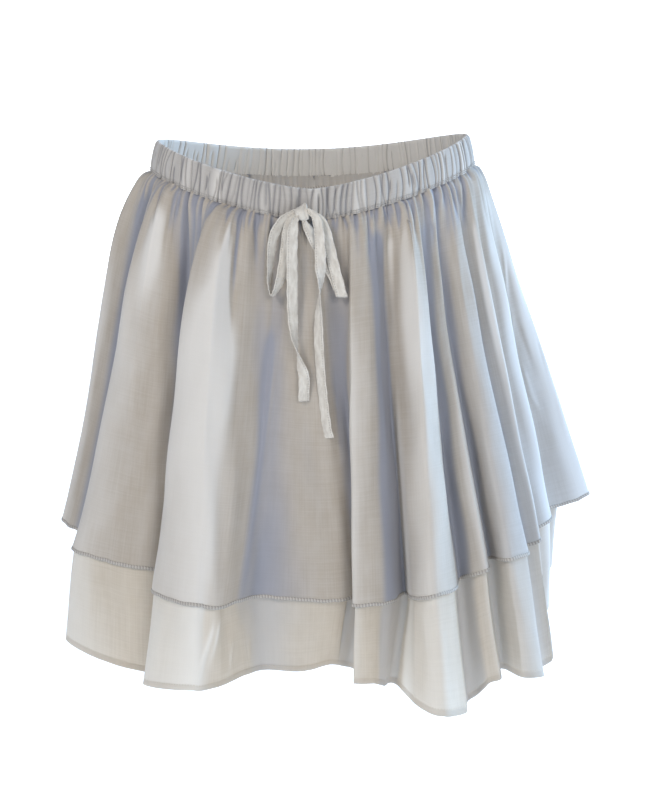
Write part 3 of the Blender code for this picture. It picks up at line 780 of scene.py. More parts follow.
# Creases seen on the front, and similar ones on the sides and back that the photo doesn't show.
CREASES: tuple[Crease, ...] = (
    Crease(-84, -84, 0, 150, -1.8, 3.0, 9.0, 0.2),
    Crease(-79, -79, 0, 60, 1.4, 3.0, 6.0),
    Crease(-70, -72, 0, 330, -4.0, 3.0, 9.0, -0.2),
    Crease(-76, -78, 20, 380, -4.0, 5.0, 15.0),
    Crease(-54, -55, 40, 330, 2.0, 6.0, 14.0),
    Crease(-64.5, -65, 4, 90, 1.6, 3.2, 7.0, 0.3),
    Crease(-60, -61, 0, 90, -1.8, 2.2, 5.0),
    Crease(-57, -57, 0, 75, 2.2, 4.0, 8.0),
    Crease(-52.5, -53, 0, 110, -2.4, 2.4, 6.0),
    Crease(-48, -48, 0, 200, -4.2, 1.8, 4.0, -0.4),
    Crease(-44, -44.5, 0, 85, -2.2, 2.0, 4.5),
    Crease(-41, -41, 0, 56, -1.9, 2.0, 4.0),
    Crease(-38.5, -39, 0, 82, -2.2, 2.0, 5.0, 0.3),
    Crease(-35.5, -35.5, 0, 48, -1.6, 1.8, 3.6),
    Crease(-30.5, -31, 0, 64, -1.4, 2.4, 6.0),
    Crease(-28.5, -28, 6, 190, 1.6, 5.0, 13.0),
    Crease(-24, -23.5, 0, 120, -4.0, 1.6, 4.5, -0.4),
    Crease(-21.4, -21, 4, 130, 1.7, 3.0, 6.0),
    Crease(-18.4, -19, 0, 84, -2.4, 2.2, 5.0, 0.2),
    Crease(-15.6, -16, 4, 130, 1.5, 3.0, 6.0),
    Crease(-12.8, -13.6, 0, 250, -3.4, 3.0, 9.0, 0.3),
    Crease(-9, -9, 0, 74, -1.9, 2.2, 5.0),
    Crease(-6, -5, 0, 120, -1.8, 2.4, 6.0),
    Crease(-2, -1.5, 0, 95, -1.7, 2.4, 6.0),
    Crease(-4, -3, 120, 330, 1.3, 7.0, 12.0),
    Crease(2.4, 3.2, 0, 170, -2.2, 2.6, 8.0, 0.3),
    Crease(6.4, 7.0, 0, 130, -2.4, 2.4, 6.0),
    Crease(4.6, 2.6, 130, 300, -1.6, 5.0, 9.0, -0.4),
    Crease(10.6, 10.6, 0, 150, -2.8, 2.4, 6.0, 0.3),
    Crease(14.9, 15, 0, 52, -1.7, 2.0, 4.0),
    Crease(12.6, 9.8, 140, 250, 1.5, 4.0, 7.0, 0.4),
    Crease(18.7, 18.6, 0, 72, -2.1, 2.0, 5.0, 0.2),
    Crease(22, 22, 0, 66, -2.1, 2.0, 5.0),
    Crease(26.6, 26.6, 0, 130, -3.0, 2.4, 7.0, 0.3),
    Crease(30.3, 30, 4, 140, 1.6, 4.0, 9.0),
    Crease(32.9, 33.1, 0, 60, -1.9, 2.0, 4.5),
    Crease(35.4, 35.6, 0, 96, -2.2, 2.0, 5.0, -0.3),
    Crease(38.3, 38.6, 0, 120, -2.6, 2.0, 5.0),
    Crease(41.5, 41.6, 0, 96, -2.2, 2.0, 5.0),
    Crease(44.4, 44.4, 0, 60, 1.4, 2.6, 5.0),
    Crease(47.3, 47.7, 0, 320, -2.6, 2.2, 4.5, -0.3),
    Crease(51.4, 51.5, 0, 62, -1.8, 2.0, 4.5),
    Crease(55.6, 55.8, 0, 48, -1.7, 2.0, 4.5),
    Crease(58.9, 59, 0, 130, -2.4, 2.2, 5.0),
    Crease(62.6, 63, 0, 96, -2.0, 2.0, 5.0, 0.3),
    Crease(64.2, 64.2, 40, 250, 1.4, 2.6, 4.0, 0.4),
    Crease(68.4, 68.4, 0, 118, -2.3, 2.2, 5.0),
    Crease(74, 74, 0, 100, 1.5, 3.0, 6.0),
    Crease(80.5, 81, 0, 130, -1.7, 2.4, 6.0),
    Crease(86.5, 86, 30, 150, 1.1, 3.0, 5.0),
    Crease(82, 89, 60, 135, 1.0, 1.3, 2.0),
    Crease(90, 85, 85, 160, 0.9, 1.3, 2.0),
    Crease(79, 84, 120, 200, 0.8, 1.2, 1.9),
    Crease(88, 83, 140, 215, 0.9, 1.3, 2.0),
    Crease(84, 91, 175, 250, 0.7, 1.2, 2.0),
    Crease(89.0, 90.4, 150, 215, -0.9, 2.0, 3.0),
    Crease(93.6, 92.4, 170, 235, -0.9, 2.0, 3.0),
    Crease(87.6, 89.6, 190, 262, 0.9, 2.0, 3.4),
    Crease(94, 92.6, 225, 290, 0.8, 2.0, 3.4),
    Crease(98, 98, 0, 120, -1.6, 2.4, 6.0),
    Crease(103, 102, 0, 120, -2.0, 2.4, 7.0),
    Crease(110, 110, 0, 150, -2.0, 2.4, 8.0, 0.3),
    Crease(118, 119, 0, 80, -1.8, 2.2, 6.0),
    Crease(124, 124, 10, 130, 1.6, 3.4, 9.0),
    Crease(131, 130, 0, 100, -2.4, 2.2, 7.0, -0.3),
    Crease(138, 138, 0, 60, -1.8, 2.0, 5.0),
    Crease(145, 146, 0, 140, -2.2, 2.4, 8.0, 0.3),
    Crease(152, 152, 0, 85, -1.8, 2.0, 6.0),
    Crease(158, 157, 20, 180, 1.6, 4.0, 9.0),
    Crease(166, 167, 0, 110, -2.4, 2.2, 7.0),
    Crease(173, 173, 0, 60, -1.8, 2.0, 5.0),
    Crease(180, 179, 0, 150, -2.2, 2.4, 8.0, -0.3),
    Crease(188, 188, 0, 90, 1.6, 3.0, 8.0),
    Crease(196, 197, 0, 120, -2.4, 2.2, 7.0),
    Crease(204, 203, 0, 70, -2.0, 2.2, 6.0),
    Crease(211, 211, 12, 170, 1.6, 4.0, 10.0),
    Crease(218, 219, 0, 100, -2.2, 2.2, 7.0, 0.3),
    Crease(226, 225, 0, 60, -1.8, 2.0, 5.0),
    Crease(233, 234, 0, 140, -2.4, 2.4, 8.0),
    Crease(240, 240, 0, 80, -1.8, 2.0, 6.0),
    Crease(247, 247, 20, 180, 1.4, 4.0, 10.0),
    Crease(254, 253, 0, 110, -2.2, 2.4, 8.0),
    Crease(260, 260, 0, 70, -1.8, 2.2, 6.0),
)


class Shade(NamedTuple):
    """Where the cloth is painted paler or darker: painted light where its tone is above 0 and painted shade
    where it is below.

    Its degree at the waist, its reach in degrees, its tone, and the drops where it starts and ends
    in millimetres.
    """

    at: float
    reach: float
    tone: float
    start: float = 10.0
    end: float = 480.0


# Painted light and painted shade along the folds.
SHADES: tuple[Shade, ...] = (
    Shade(-82, 5, -0.3),
    Shade(-74, 6, -1.3),
    Shade(-57, 3, 1.0, 8, 50),
    Shade(-54, 3.5, -0.35),
    Shade(-49, 1.2, -0.8, 8, 200),
    Shade(-26, 3.2, 1.0, 2, 110),
    Shade(-27, 3.5, 0.4, 60, 480),
    Shade(-13.5, 1.6, -0.7, 90, 300),
    Shade(-3, 6, -0.35),
    Shade(15.5, 2.2, -0.3),
    Shade(21.2, 2.8, -1.9),
    Shade(27, 1.6, 1.2),
    Shade(32, 2.4, 0.6, 6, 90),
    Shade(34, 3, -0.2),
    Shade(41, 2.5, -0.5),
    Shade(55, 4, -0.5),
    Shade(84, 12, 0.7),
    Shade(120, 9, -0.3),
    Shade(150, 7, 0.3),
    Shade(184, 8, -0.3),
    Shade(222, 9, 0.25),
    Shade(243, 6, -0.35),
)


# Creases of the under layer alone, below the upper tier's hem.
UNDER_CREASES: tuple[Crease, ...] = (
    Crease(-70, -69, 300, 420, -1.4, 6.0, 8.0),
    Crease(-80, -72, 372, 425, 0.9, 1.6, 2.2),
    Crease(-84, -77, 378, 418, 0.8, 1.4, 2.0),
    Crease(-75, -70, 366, 402, 0.7, 1.4, 2.0),
    Crease(-22, -26.5, 352, 430, 1.2, 1.6, 2.6),
    Crease(-19.5, -23, 345, 405, 0.9, 1.4, 2.2),
    Crease(-16, -18.5, 372, 428, 0.9, 1.4, 2.0),
    Crease(-11.5, -13, 380, 426, 0.7, 1.2, 1.8),
    Crease(-60, -60, 320, 430, 1.2, 7.0, 9.0),
    Crease(-50, -50, 322, 430, -1.6, 5.0, 7.0),
    Crease(-31, -31, 340, 430, 1.4, 6.0, 9.0),
    Crease(-25, -24, 335, 420, -1.6, 6.0, 8.0),
    Crease(-18, -17, 330, 430, -1.4, 6.0, 8.0),
    Crease(-11, -11, 340, 425, 1.2, 6.0, 8.0),
    Crease(-7, -7, 330, 425, -1.2, 5.0, 7.0),
    Crease(3.4, 3.4, 318, 430, -2.6, 2.2, 2.6, 0.7),
    Crease(6, 6, 325, 420, 1.2, 5.0, 7.0),
    Crease(15, 15, 340, 430, 1.2, 6.0, 8.0),
    Crease(19.5, 19.5, 340, 430, -1.2, 5.0, 6.0),
    Crease(28, 28.5, 340, 440, -1.2, 6.0, 8.0),
    Crease(31, 31.5, 345, 445, 1.2, 5.0, 8.0),
    Crease(34.8, 35, 345, 450, -1.4, 6.0, 9.0),
    Crease(54, 54, 340, 440, 1.0, 6.0, 8.0),
    Crease(64, 64, 350, 450, -1.2, 5.0, 8.0),
    Crease(99, 99, 320, 430, -1.2, 7.0, 9.0),
    Crease(123, 123, 330, 430, 1.2, 7.0, 9.0),
    Crease(137, 137, 340, 430, -1.2, 6.0, 8.0),
    Crease(157, 157, 330, 430, 1.2, 7.0, 9.0),
    Crease(172, 172, 345, 430, -1.2, 6.0, 8.0),
    Crease(192, 192, 330, 430, 1.2, 7.0, 8.0),
    Crease(210, 210, 335, 430, -1.2, 7.0, 9.0),
    Crease(231, 231, 330, 430, 1.2, 7.0, 9.0),
    Crease(247, 247, 340, 430, -1.2, 6.0, 8.0),
)


@dataclass(frozen=True)
class GatherSizes:
    """The small gathers under the band, drawn by a fixed seed."""

    seed: int = 11
    spacing: Pair = (0.0022, 0.0066)
    short: Pair = (0.008, 0.024)
    long: Pair = (0.028, 0.075)
    share_long: float = 0.36
    depth: Pair = (0.0011, 0.0028)
    width: Pair = (0.0008, 0.0015)
    widening: Pair = (1.6, 3.0)
    drift: float = 3.0
    skew: float = 0.4
    # The depth of a gather that gives a full painted shade in its trough.
    tone: float = 0.0022


@dataclass(frozen=True)
class RippleSizes:
    """The faint waves of the whole cloth, drawn by a fixed seed."""

    seed: int = 5
    count: int = 30
    around: tuple[int, int] = (14, 70)
    down: Pair = (-9.0, 12.0)
    height: Pair = (0.00006, 0.00017)
    phase: float = 6.28
    grown_at: float = 0.10


@dataclass
class HangingCloth:
    """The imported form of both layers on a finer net, with its gathers and creases.

    Each row of the layers is a ring of columns at one drop below the band, and the two side seams
    are places in the order of the knots.
    """

    waist: Waist
    gathers: GatherSizes = GatherSizes()
    ripples: RippleSizes = RippleSizes()
    steps: int = 32
    column_count: int = 1160
    corner: float = 2 / 3
    corner_samples: int = 7
    wall: float = 0.0011
    layer_gap: float = 0.0012
    layer_gap_depth: float = 0.060
    tuck_start: float = 0.35
    tuck_power: float = 1.5
    tier_length: float = 0.331
    below_length: float = 0.085
    fall_limit: float = 0.35
    fall_steps: int = 60
    shoulder: float = 0.0050
    shoulder_rise: float = 0.02
    shoulder_fade: float = 0.20
    right_seam: float = 31 + 2 / 3
    left_seam: float = 52.0
    dense_rows: int = 34
    dense_share: float = 0.18
    long_rows: int = 76
    below_rows: int = 26
    crease_lead: float = 0.012
    crease_power: float = 1.7
    # Creases narrower than this are also drawn into the painted shade.
    narrow: float = 5.0
    # How the painted fold shade and crest highlight grow from the band, how far they reach and how they are
    # scaled and limited.
    fold_at_band: float = 0.2
    fold_grown_at: float = 0.15
    fold_reach: float = 18.0
    fold_scale: Pair = (0.0012, 0.0085)
    tone_limit: float = 1.2
    # Where the painted blue side light lies, in degrees at the waist, and how it grows from the band.
    sky_side: tuple[float, float, float, float] = (34.0, 60.0, 112.0, 162.0)
    painted_sky_at_band: float = 0.25
    painted_sky_grown_at: float = 0.30
    # How each painted shade of the table fades in and out.
    shade_begins_over: float = 25.0
    shade_ends_over: float = 80.0
    columns: dict[str, Array] = field(init=False)
    shares: Array = field(init=False)
    below: Array = field(init=False)
    drops: Array = field(init=False)
    tier: Array = field(init=False)
    under: Array = field(init=False)
    tier_painted_shading: Array = field(init=False)
    under_painted_shading: Array = field(init=False)

    def __post_init__(self) -> None:
        """Works out both layers' outside surfaces, once round the skirt."""
        self.columns = self._columns()
        dense = np.linspace(0, self.dense_share, self.dense_rows + 1)[:-1]
        self.shares = np.concatenate([dense, np.linspace(self.dense_share, 1, self.long_rows + 1)])
        self.below = np.arange(1, self.below_rows + 1) / self.below_rows
        below_tier = self.tier_length + self.below * self.below_length
        self.drops = np.concatenate([self.shares * self.tier_length, below_tier])
        rows = self._drape()
        arcs = self._arcs(rows)
        gathered = self._gather_relief(arcs)
        relief = gathered + self._relief(CREASES, arcs) + self._rippled()
        last = len(self.shares)
        self.tier = (rows + ring_normals(rows) * relief[..., None])[:last]
        under = self._tucked(rows - ring_normals(rows) * self._inset()[:, None, None])
        below_relief = relief + self._relief(UNDER_CREASES, arcs)
        self.under = under + ring_normals(under) * below_relief[..., None]
        self._painted_shading(gathered, arcs)

    def _painted_shading(self, gathered: Array, arcs: Array) -> None:
        """Works out both layers' painted shade and highlight, from their form and from what is drawn on it,
        and their painted blue side light.

        Args:
            gathered: the relief of the small gathers.
            arcs: lengths along each ring.
        """
        narrow = tuple(crease for crease in CREASES if crease.width_end < self.narrow)
        below = tuple(crease for crease in UNDER_CREASES if crease.width_end < self.narrow)
        # Painted shade in the troughs of the gathers and narrow creases, and painted light and shade from the
        # table.
        drawn = (gathered + self._relief(narrow, arcs)) / self.gathers.tone + self._shades()
        painted_sky_light = self._painted_sky_light()
        last = len(self.shares)
        tone = self._stand_out(self.tier) + drawn[:last]
        self.tier_painted_shading = np.stack([np.clip(tone, -self.tone_limit, self.tone_limit), painted_sky_light[:last]], axis=-1)
        tone = self._stand_out(self.under) + drawn + self._relief(below, arcs) / self.gathers.tone
        self.under_painted_shading = np.stack([np.clip(tone, -self.tone_limit, self.tone_limit), painted_sky_light], axis=-1)

    def _columns(self) -> dict[str, Array]:
        """The knots' values on columns that lie evenly along the waist and the hem."""
        count = len(KNOTS)
        knots = np.array(KNOTS, dtype=float)
        knots[:, 0] = np.degrees(np.unwrap(np.radians(knots[:, 0])))
        closing = knots[0].copy()
        closing[0] += 360.0
        table = np.vstack([knots, closing])
        at = np.arange(count * self.steps + 1) / self.steps
        fine = {
            name: np.interp(at, np.arange(count + 1), table[:, index])
            for index, name in enumerate(Knot._fields)
        }
        for name in ("tier", "step_x", "step_y", "under"):
            reach = np.linspace(-self.corner / 2, self.corner / 2, self.corner_samples)
            moved = [np.interp(at + part, at, fine[name], period=count) for part in reach]
            fine[name] = np.mean(moved, axis=0)
        hem = closed_curve(knots[:, 1:3], self.steps)
        hem = np.vstack([hem, hem[:1]])
        spent = [run_lengths(line) for line in (self.waist.foot_oval(fine["waist"]), hem)]
        share = sum(part / part[-1] for part in spent) / len(spent)
        places = np.interp(np.arange(self.column_count) / self.column_count, share, at)
        columns = {name: np.interp(places, at, values) for name, values in fine.items()}
        columns["place"] = places
        columns["hem"] = np.column_stack([np.interp(places, at, hem[:, axis]) for axis in range(2)])
        columns["step"] = np.column_stack([columns["step_x"], columns["step_y"]])
        return columns

    def _plan(self, reach: float) -> Array:
        """Plan points of the columns at a share of the upper tier's length."""
        waist = self.waist.foot_oval(self.columns["waist"])
        out = self.waist.foot_outward(self.columns["waist"])
        rise = 1 - math.exp(-reach / self.shoulder_rise)
        shoulder = rise * math.exp(-reach / self.shoulder_fade)
        # Without the 256 / 27 the puff's curve would be 27 / 256 high at its top.
        puff = self.columns["puff"] * 256 / 27 * reach * (1 - reach) ** 3
        share = reach ** self.columns["ease"] + puff
        return waist + out * self.shoulder * shoulder + (self.columns["hem"] - waist) * share[:, None]

    def _drape(self) -> Array:
        """Rows of points [row, column] down the tier and what hangs below it."""
        foot = self.waist.foot(self.columns["waist"])
        shares = np.linspace(0, 1, self.fall_steps + 1)
        flat = np.array([self._plan(share) for share in shares])
        travel = np.linalg.norm(np.diff(flat, axis=0), axis=2)
        step = self.columns["tier"] / self.fall_steps
        fall = np.sqrt(np.maximum(step**2 - travel**2, (self.fall_limit * step) ** 2))
        height = foot - np.vstack([np.zeros(len(foot)), np.cumsum(fall, axis=0)])
        rows = []
        for share in self.shares:
            level = [np.interp(share, shares, height[:, column]) for column in range(len(foot))]
            rows.append(np.column_stack([self._plan(share), level]))
        length = self.columns["under"] - self.columns["tier"]
        travel = np.linalg.norm(self.columns["step"], axis=1)
        fall = np.sqrt(np.maximum(length**2 - travel**2, (self.fall_limit * length) ** 2))
        hem = rows[-1]
        for share in self.below:
            moved = hem[:, :2] + self.columns["step"] * share
            rows.append(np.column_stack([moved, hem[:, 2] - fall * share]))
        return np.array(rows)

    @staticmethod
    def _arcs(rows: Array) -> Array:
        """Length along each ring to each column, with the whole ring's at the end."""
        step = np.linalg.norm(np.roll(rows, -1, axis=1) - rows, axis=2)
        return np.concatenate([np.zeros((len(rows), 1)), np.cumsum(step, axis=1)], axis=1)

    def _inset(self) -> Array:
        """How far each ring of the under layer lies inside the tier's outside."""
        ramp = np.minimum(self.drops, self.tier_length) / self.layer_gap_depth
        gap = self.waist.piece_gap
        return self.wall + gap + (self.layer_gap - gap) * np.minimum(ramp, 1.0)

    def _tucked(self, rows: Array) -> Array:
        """The under layer, drawn inwards where it doesn't follow a fold."""
        middle = -unit(self.columns["hem"])
        shares = np.concatenate([self.shares, np.ones(len(self.below))])
        drawn = (np.maximum(shares - self.tuck_start, 0.0) / (1 - self.tuck_start)) ** self.tuck_power
        made = rows.copy()
        made[..., :2] += middle * self.columns["tuck"][:, None] * drawn[:, None, None]
        return made

    def _closed_waist(self) -> Array:
        """The columns' degrees at the waist, with the first again at the end."""
        waist = self.columns["waist"]
        return np.concatenate([waist, [waist[0] + 360]])

    def _stamp(self, relief: Array, arcs: Array, crease: Crease) -> None:
        """Adds one crease to the relief.

        Args:
            relief: heights [row, column] that the crease is added to.
            arcs: lengths along each ring.
            crease: the crease.
        """
        start, end = crease.start * MM, crease.end * MM
        waist = self._closed_waist()
        index = np.arange(len(waist))
        for row, drop in enumerate(self.drops):
            if not start - self.crease_lead <= drop <= end:
                continue
            share = max(0.0, (drop - start) / (end - start))
            begun = eased((drop - start + self.crease_lead) / (2 * self.crease_lead))
            lead = 1.0 if start < MM else float(begun)
            tall = crease.height * MM * lead * (1 - share**2) ** 2
            wide = (crease.width + (crease.width_end - crease.width) * share) * MM
            degrees = crease.at + (crease.to - crease.at) * share
            degrees = (degrees - waist[0]) % 360.0 + waist[0]
            middle = np.interp(np.interp(degrees, waist, index), index, arcs[row])
            length = arcs[row, -1]
            offset = (arcs[row, :-1] - middle + length / 2) % length - length / 2
            flank = np.where(offset < 0, 1 - crease.skew, 1 + crease.skew)
            relief[row] += tall * np.exp(-np.abs(offset / (wide * flank)) ** self.crease_power)

    def _relief(self, creases: tuple[Crease, ...], arcs: Array) -> Array:
        """The relief of a table of creases."""
        relief = np.zeros((len(self.drops), len(self.columns["waist"])))
        for crease in creases:
            self._stamp(relief, arcs, crease)
        return relief

    def _gather_relief(self, arcs: Array) -> Array:
        """The relief of the small gathers, which run down from the band and fade."""
        sizes = self.gathers
        draw = np.random.default_rng(sizes.seed)
        relief = np.zeros((len(self.drops), len(self.columns["waist"])))
        waist = self._closed_waist()
        place = 0.0
        while place < arcs[0, -1] - sizes.spacing[0]:
            degrees = float(np.interp(place, arcs[0], waist))
            long = draw.random() < sizes.share_long
            length = draw.uniform(*(sizes.long if long else sizes.short))
            width = draw.uniform(*sizes.width) / MM
            drift = draw.normal(0.0, sizes.drift) * (length / sizes.long[1])
            depth = -draw.uniform(*sizes.depth) / MM
            wide = width * draw.uniform(*sizes.widening)
            skew = draw.uniform(-sizes.skew, sizes.skew)
            crease = Crease(degrees, degrees + drift, 0, length / MM, depth, width, wide, skew)
            self._stamp(relief, arcs, crease)
            place += draw.uniform(*sizes.spacing)
        return relief

    def _stand_out(self, rows: Array) -> Array:
        """How far each place stands out of its ring's smoothed form.

        Args:
            rows: a layer's points [row, column, xyz].

        Returns:
            The shares [row, column], from -1 to 1.
        """
        count = rows.shape[1]
        around = np.fft.fftfreq(count) * 2 * math.pi
        keep = np.exp(-0.5 * (around * self.fold_reach) ** 2)
        smooth = np.fft.ifft(np.fft.fft(rows[..., :2], axis=1) * keep[None, :, None], axis=1).real
        apart = ((rows[..., :2] - smooth) * ring_normals(rows)[..., :2]).sum(axis=-1)
        drops = self.drops[: len(rows)]
        share = np.minimum(drops / self.tier_length, 1.0)
        low, high = self.fold_scale
        grown = self.fold_at_band + (1 - self.fold_at_band) * eased(drops / self.fold_grown_at)
        return np.tanh(apart / (low + (high - low) * share)[:, None]) * grown[:, None]

    def _painted_sky_light(self) -> Array:
        """How much painted blue side light the cloth takes, most of it low on the right-hand side."""
        degrees = self.columns["waist"]
        begins, full, fades, ends = self.sky_side
        side = eased((degrees - begins) / (full - begins)) * (1 - eased((degrees - fades) / (ends - fades)))
        grown = self.painted_sky_at_band + (1 - self.painted_sky_at_band) * eased(self.drops / self.painted_sky_grown_at)
        return side * grown[:, None]

    def _shades(self) -> Array:
        """The painted light and shade of the table of shades, each from its start to its end."""
        degrees = self.columns["waist"]
        total = np.zeros((len(self.drops), len(degrees)))
        for shade in SHADES:
            apart = (degrees - shade.at + 180.0) % 360.0 - 180.0
            near = np.exp(-((apart / shade.reach) ** 2))
            begun = eased((self.drops / MM - shade.start) / self.shade_begins_over)
            ended = eased((self.drops / MM - shade.end) / self.shade_ends_over)
            total += shade.tone * (begun * (1 - ended))[:, None] * near
        return total

    def _rippled(self) -> Array:
        """A faint unevenness of the whole cloth, so that no fold is perfectly smooth."""
        sizes = self.ripples
        turn = np.radians(self.columns["waist"])
        drops = self.drops[:, None]
        total = np.zeros((len(self.drops), len(turn)))
        draw = np.random.default_rng(sizes.seed)
        for _ in range(sizes.count):
            around = int(draw.integers(*sizes.around))
            down = draw.uniform(*sizes.down) * drops * 2 * math.pi
            height = draw.uniform(*sizes.height)
            total += height * np.sin(around * turn + down + draw.uniform(0, sizes.phase))
        return total * eased(drops / sizes.grown_at)

    def seam_columns(self, half: Half) -> Array:
        """Indices of a half's columns, from its first side seam to its last.

        Args:
            half: the front or the back.

        Returns:
            The indices.
        """
        first, last = (
            int(np.argmin(np.abs(self.columns["place"] - seam)))
            for seam in (self.left_seam, self.right_seam)
        )
        if half is Half.BACK:
            first, last = last, first
        count = len(self.columns["waist"])
        return (first + np.arange((last - first) % count + 1)) % count


# The sewn pieces

# A height above the hem that the finish takes for plain cloth, on pieces that have no turned hem.
PLAIN_CLOTH = 0.05


def cloth_maps(points: Array, hem: Array) -> tuple[Array, Array]:
    """UV maps of a panel: its place on the flat cloth, and its distances from top and hem.

    Args:
        points: the panel [row, column, xyz].
        hem: the points along its hem, whose spacing is the cloth's own width.

    Returns:
        The maps "cloth" and "edge" [row, column, 2].
    """
    step = np.linalg.norm(np.diff(points, axis=0), axis=2).mean(axis=1)
    down = np.concatenate([[0.0], np.cumsum(step)])
    ends = np.stack([down, down[-1] - down], axis=-1)
    return plain_map(run_lengths(hem), -down), np.broadcast_to(ends[:, None], (*points.shape[:2], 2)).copy()


def resampled(line: Array, others: list[Array], step: float) -> tuple[Array, list[Array]]:
    """A line and others that run beside it, at even steps of its length.

    Args:
        line: the line whose length counts.
        others: lines with a point beside each of its points.
        step: about how far apart the new points are.

    Returns:
        The new places along the line, and the lines.
    """
    at = run_lengths(line)
    places = np.linspace(0, at[-1], max(2, round(at[-1] / step)) + 1)
    made = [
        np.column_stack([np.interp(places, at, track[:, axis]) for axis in range(3)])
        for track in [line, *others]
    ]
    return places, made


@dataclass(frozen=True)
class OverlockRoll:
    """A flattened roll of thread round a panel's lower edge.

    Its ripples and its wander are waves, each a size and a length.
    """

    height: float = 0.0030
    half: float = 0.0006
    step: float = 0.0011
    sides: int = 12
    squareness: float = 0.7
    past_edge: float = 0.0005
    ripples: tuple[Pair, ...] = ((0.18, 0.0026), (0.12, 0.0071))
    wander: tuple[Pair, ...] = ((0.00025, 0.047), (0.0002, 0.019))

    def build(self, name: str, rows: Array, material: bpy.types.Material) -> bpy.types.Object:
        """Makes the roll, a closed tube.

        Args:
            name: the piece's name.
            rows: the panel's rows; the last is its edge.
            material: its finish.

        Returns:
            The new piece.
        """
        places, (low, high) = resampled(rows[-1], [rows[-3]], self.step)
        up = unit(high - low)
        out = unit(np.cross(unit(np.gradient(low, axis=0)), up))
        middle = low + up * (self.height / 2 - self.past_edge)
        ripple = 1 + sum(size * wave(places, length) for size, length in self.ripples)
        wander = sum(size * wave(places, length) for size, length in self.wander)
        angles = np.arange(self.sides + 1) * 2 * math.pi / self.sides
        sections = []
        for angle in angles:
            side = squared_off(np.cos(angle), self.squareness) * self.half
            tall = squared_off(np.sin(angle), self.squareness) * self.height / 2
            sections.append(middle + out * (side * ripple)[:, None] + up * (tall + wander)[:, None])
        around = angles / (2 * math.pi) * (self.height * 2 + self.half * 4)
        return strip(name, np.array(sections), plain_map(places, around), material, closed=True)


@dataclass
class Tier:
    """The upper tier: a front and a back panel with an overlocked hem."""

    cloth: HangingCloth
    finish: VoileFinish
    edging: OverlockFinish
    roll: OverlockRoll = OverlockRoll(half=0.00058)
    tuck_up: float = 0.0022
    tuck_back: float = 0.0014

    def build(self) -> None:
        """Makes both panels and their hems."""
        material = self.finish.build()
        edging = self.edging.build()
        for half in Half:
            columns = self.cloth.seam_columns(half)
            rows = self.cloth.tier[:, columns]
            panel = self._panel(f"tier_{half.value}_cloth", rows, columns, material)
            ride(panel, Slot.TIER, f"tier_{half.value}")
            hem = self.roll.build(f"tier_{half.value}_hem", rows, edging)
            ride(hem, Slot.TIER)

    def _panel(
        self, name: str, rows: Array, columns: Array, material: bpy.types.Material
    ) -> bpy.types.Object:
        """One panel of cloth, whose top edge is tucked up into the band."""
        top = rows[0].copy()
        top[:, :2] -= self.cloth.waist.foot_outward(self.cloth.columns["waist"][columns]) * self.tuck_back
        top[:, 2] += self.tuck_up
        points = np.concatenate([top[None], rows])
        # The painted shade and highlight of this panel.
        fold = self.cloth.tier_painted_shading[:, columns]
        cloth, edge = cloth_maps(points, rows[-1])
        return strip(name, points, cloth, material, edge, np.concatenate([fold[:1], fold]))


@dataclass
class UnderLayer:
    """The longer layer below: a front and a back panel with a narrow turned hem.

    Each row of the turned part is a share of the gap behind the hem and a rise above it.
    """

    cloth: HangingCloth
    finish: VoileFinish
    turn_height: float = 0.0048
    turn_gap: float = 0.0006
    turn_rows: tuple[Pair, ...] = ((0.45, -0.0005), (0.9, -0.0002), (1.0, 0.0015))

    def build(self) -> None:
        """Makes both panels."""
        material = self.finish.build()
        for half in Half:
            columns = self.cloth.seam_columns(half)
            rows = self.cloth.under[:, columns]
            turned = self._turned(rows, columns)
            points = np.concatenate([rows, turned])
            cloth, edge = cloth_maps(points, rows[-1])
            step = np.linalg.norm(np.diff(rows, axis=0), axis=2).mean(axis=1)
            drop = np.concatenate([[0.0], np.cumsum(step)])
            edge[..., 1] = self.turn_height / 2
            edge[: len(rows), :, 1] = (drop[-1] - drop)[:, None]
            # The painted shade and highlight of this panel.
            fold = self.cloth.under_painted_shading[:, columns]
            fold = np.concatenate([fold, np.repeat(fold[-1:], len(turned), axis=0)])
            panel = strip(f"under_{half.value}_cloth", points, cloth, material, edge, fold)
            ride(panel, Slot.UNDER, f"under_{half.value}")

    def _turned(self, rows: Array, columns: Array) -> Array:
        """The rows that turn up inside the hem."""
        inward = -ring_normals(self.cloth.under)[-1][columns]
        up = unit(rows[-2] - rows[-1])
        turned = (*self.turn_rows, (1.0, self.turn_height))
        return np.array([rows[-1] + inward * self.turn_gap * gap + up * rise for gap, rise in turned])


@dataclass(frozen=True)
class BandGathers:
    """The troughs that run up the band, drawn by a fixed seed."""

    seed: int
    spacing: Pair
    depth: Pair
    width: Pair
    slant: float
    share_part: float
    slant_kept: float = 0.6
    slant_drawn: float = 0.7
    bow_drawn: float = 0.5
    starts: Pair = (-0.4, 0.45)
    ends: Pair = (0.55, 1.4)
    whole: Pair = (-1.0, 2.0)
    fade: float = 0.25
    at_foot: Pair = (0.45, 1.0)
    tighter: float = 0.35
    tighter_below: float = 0.15
    power: float = 1.5


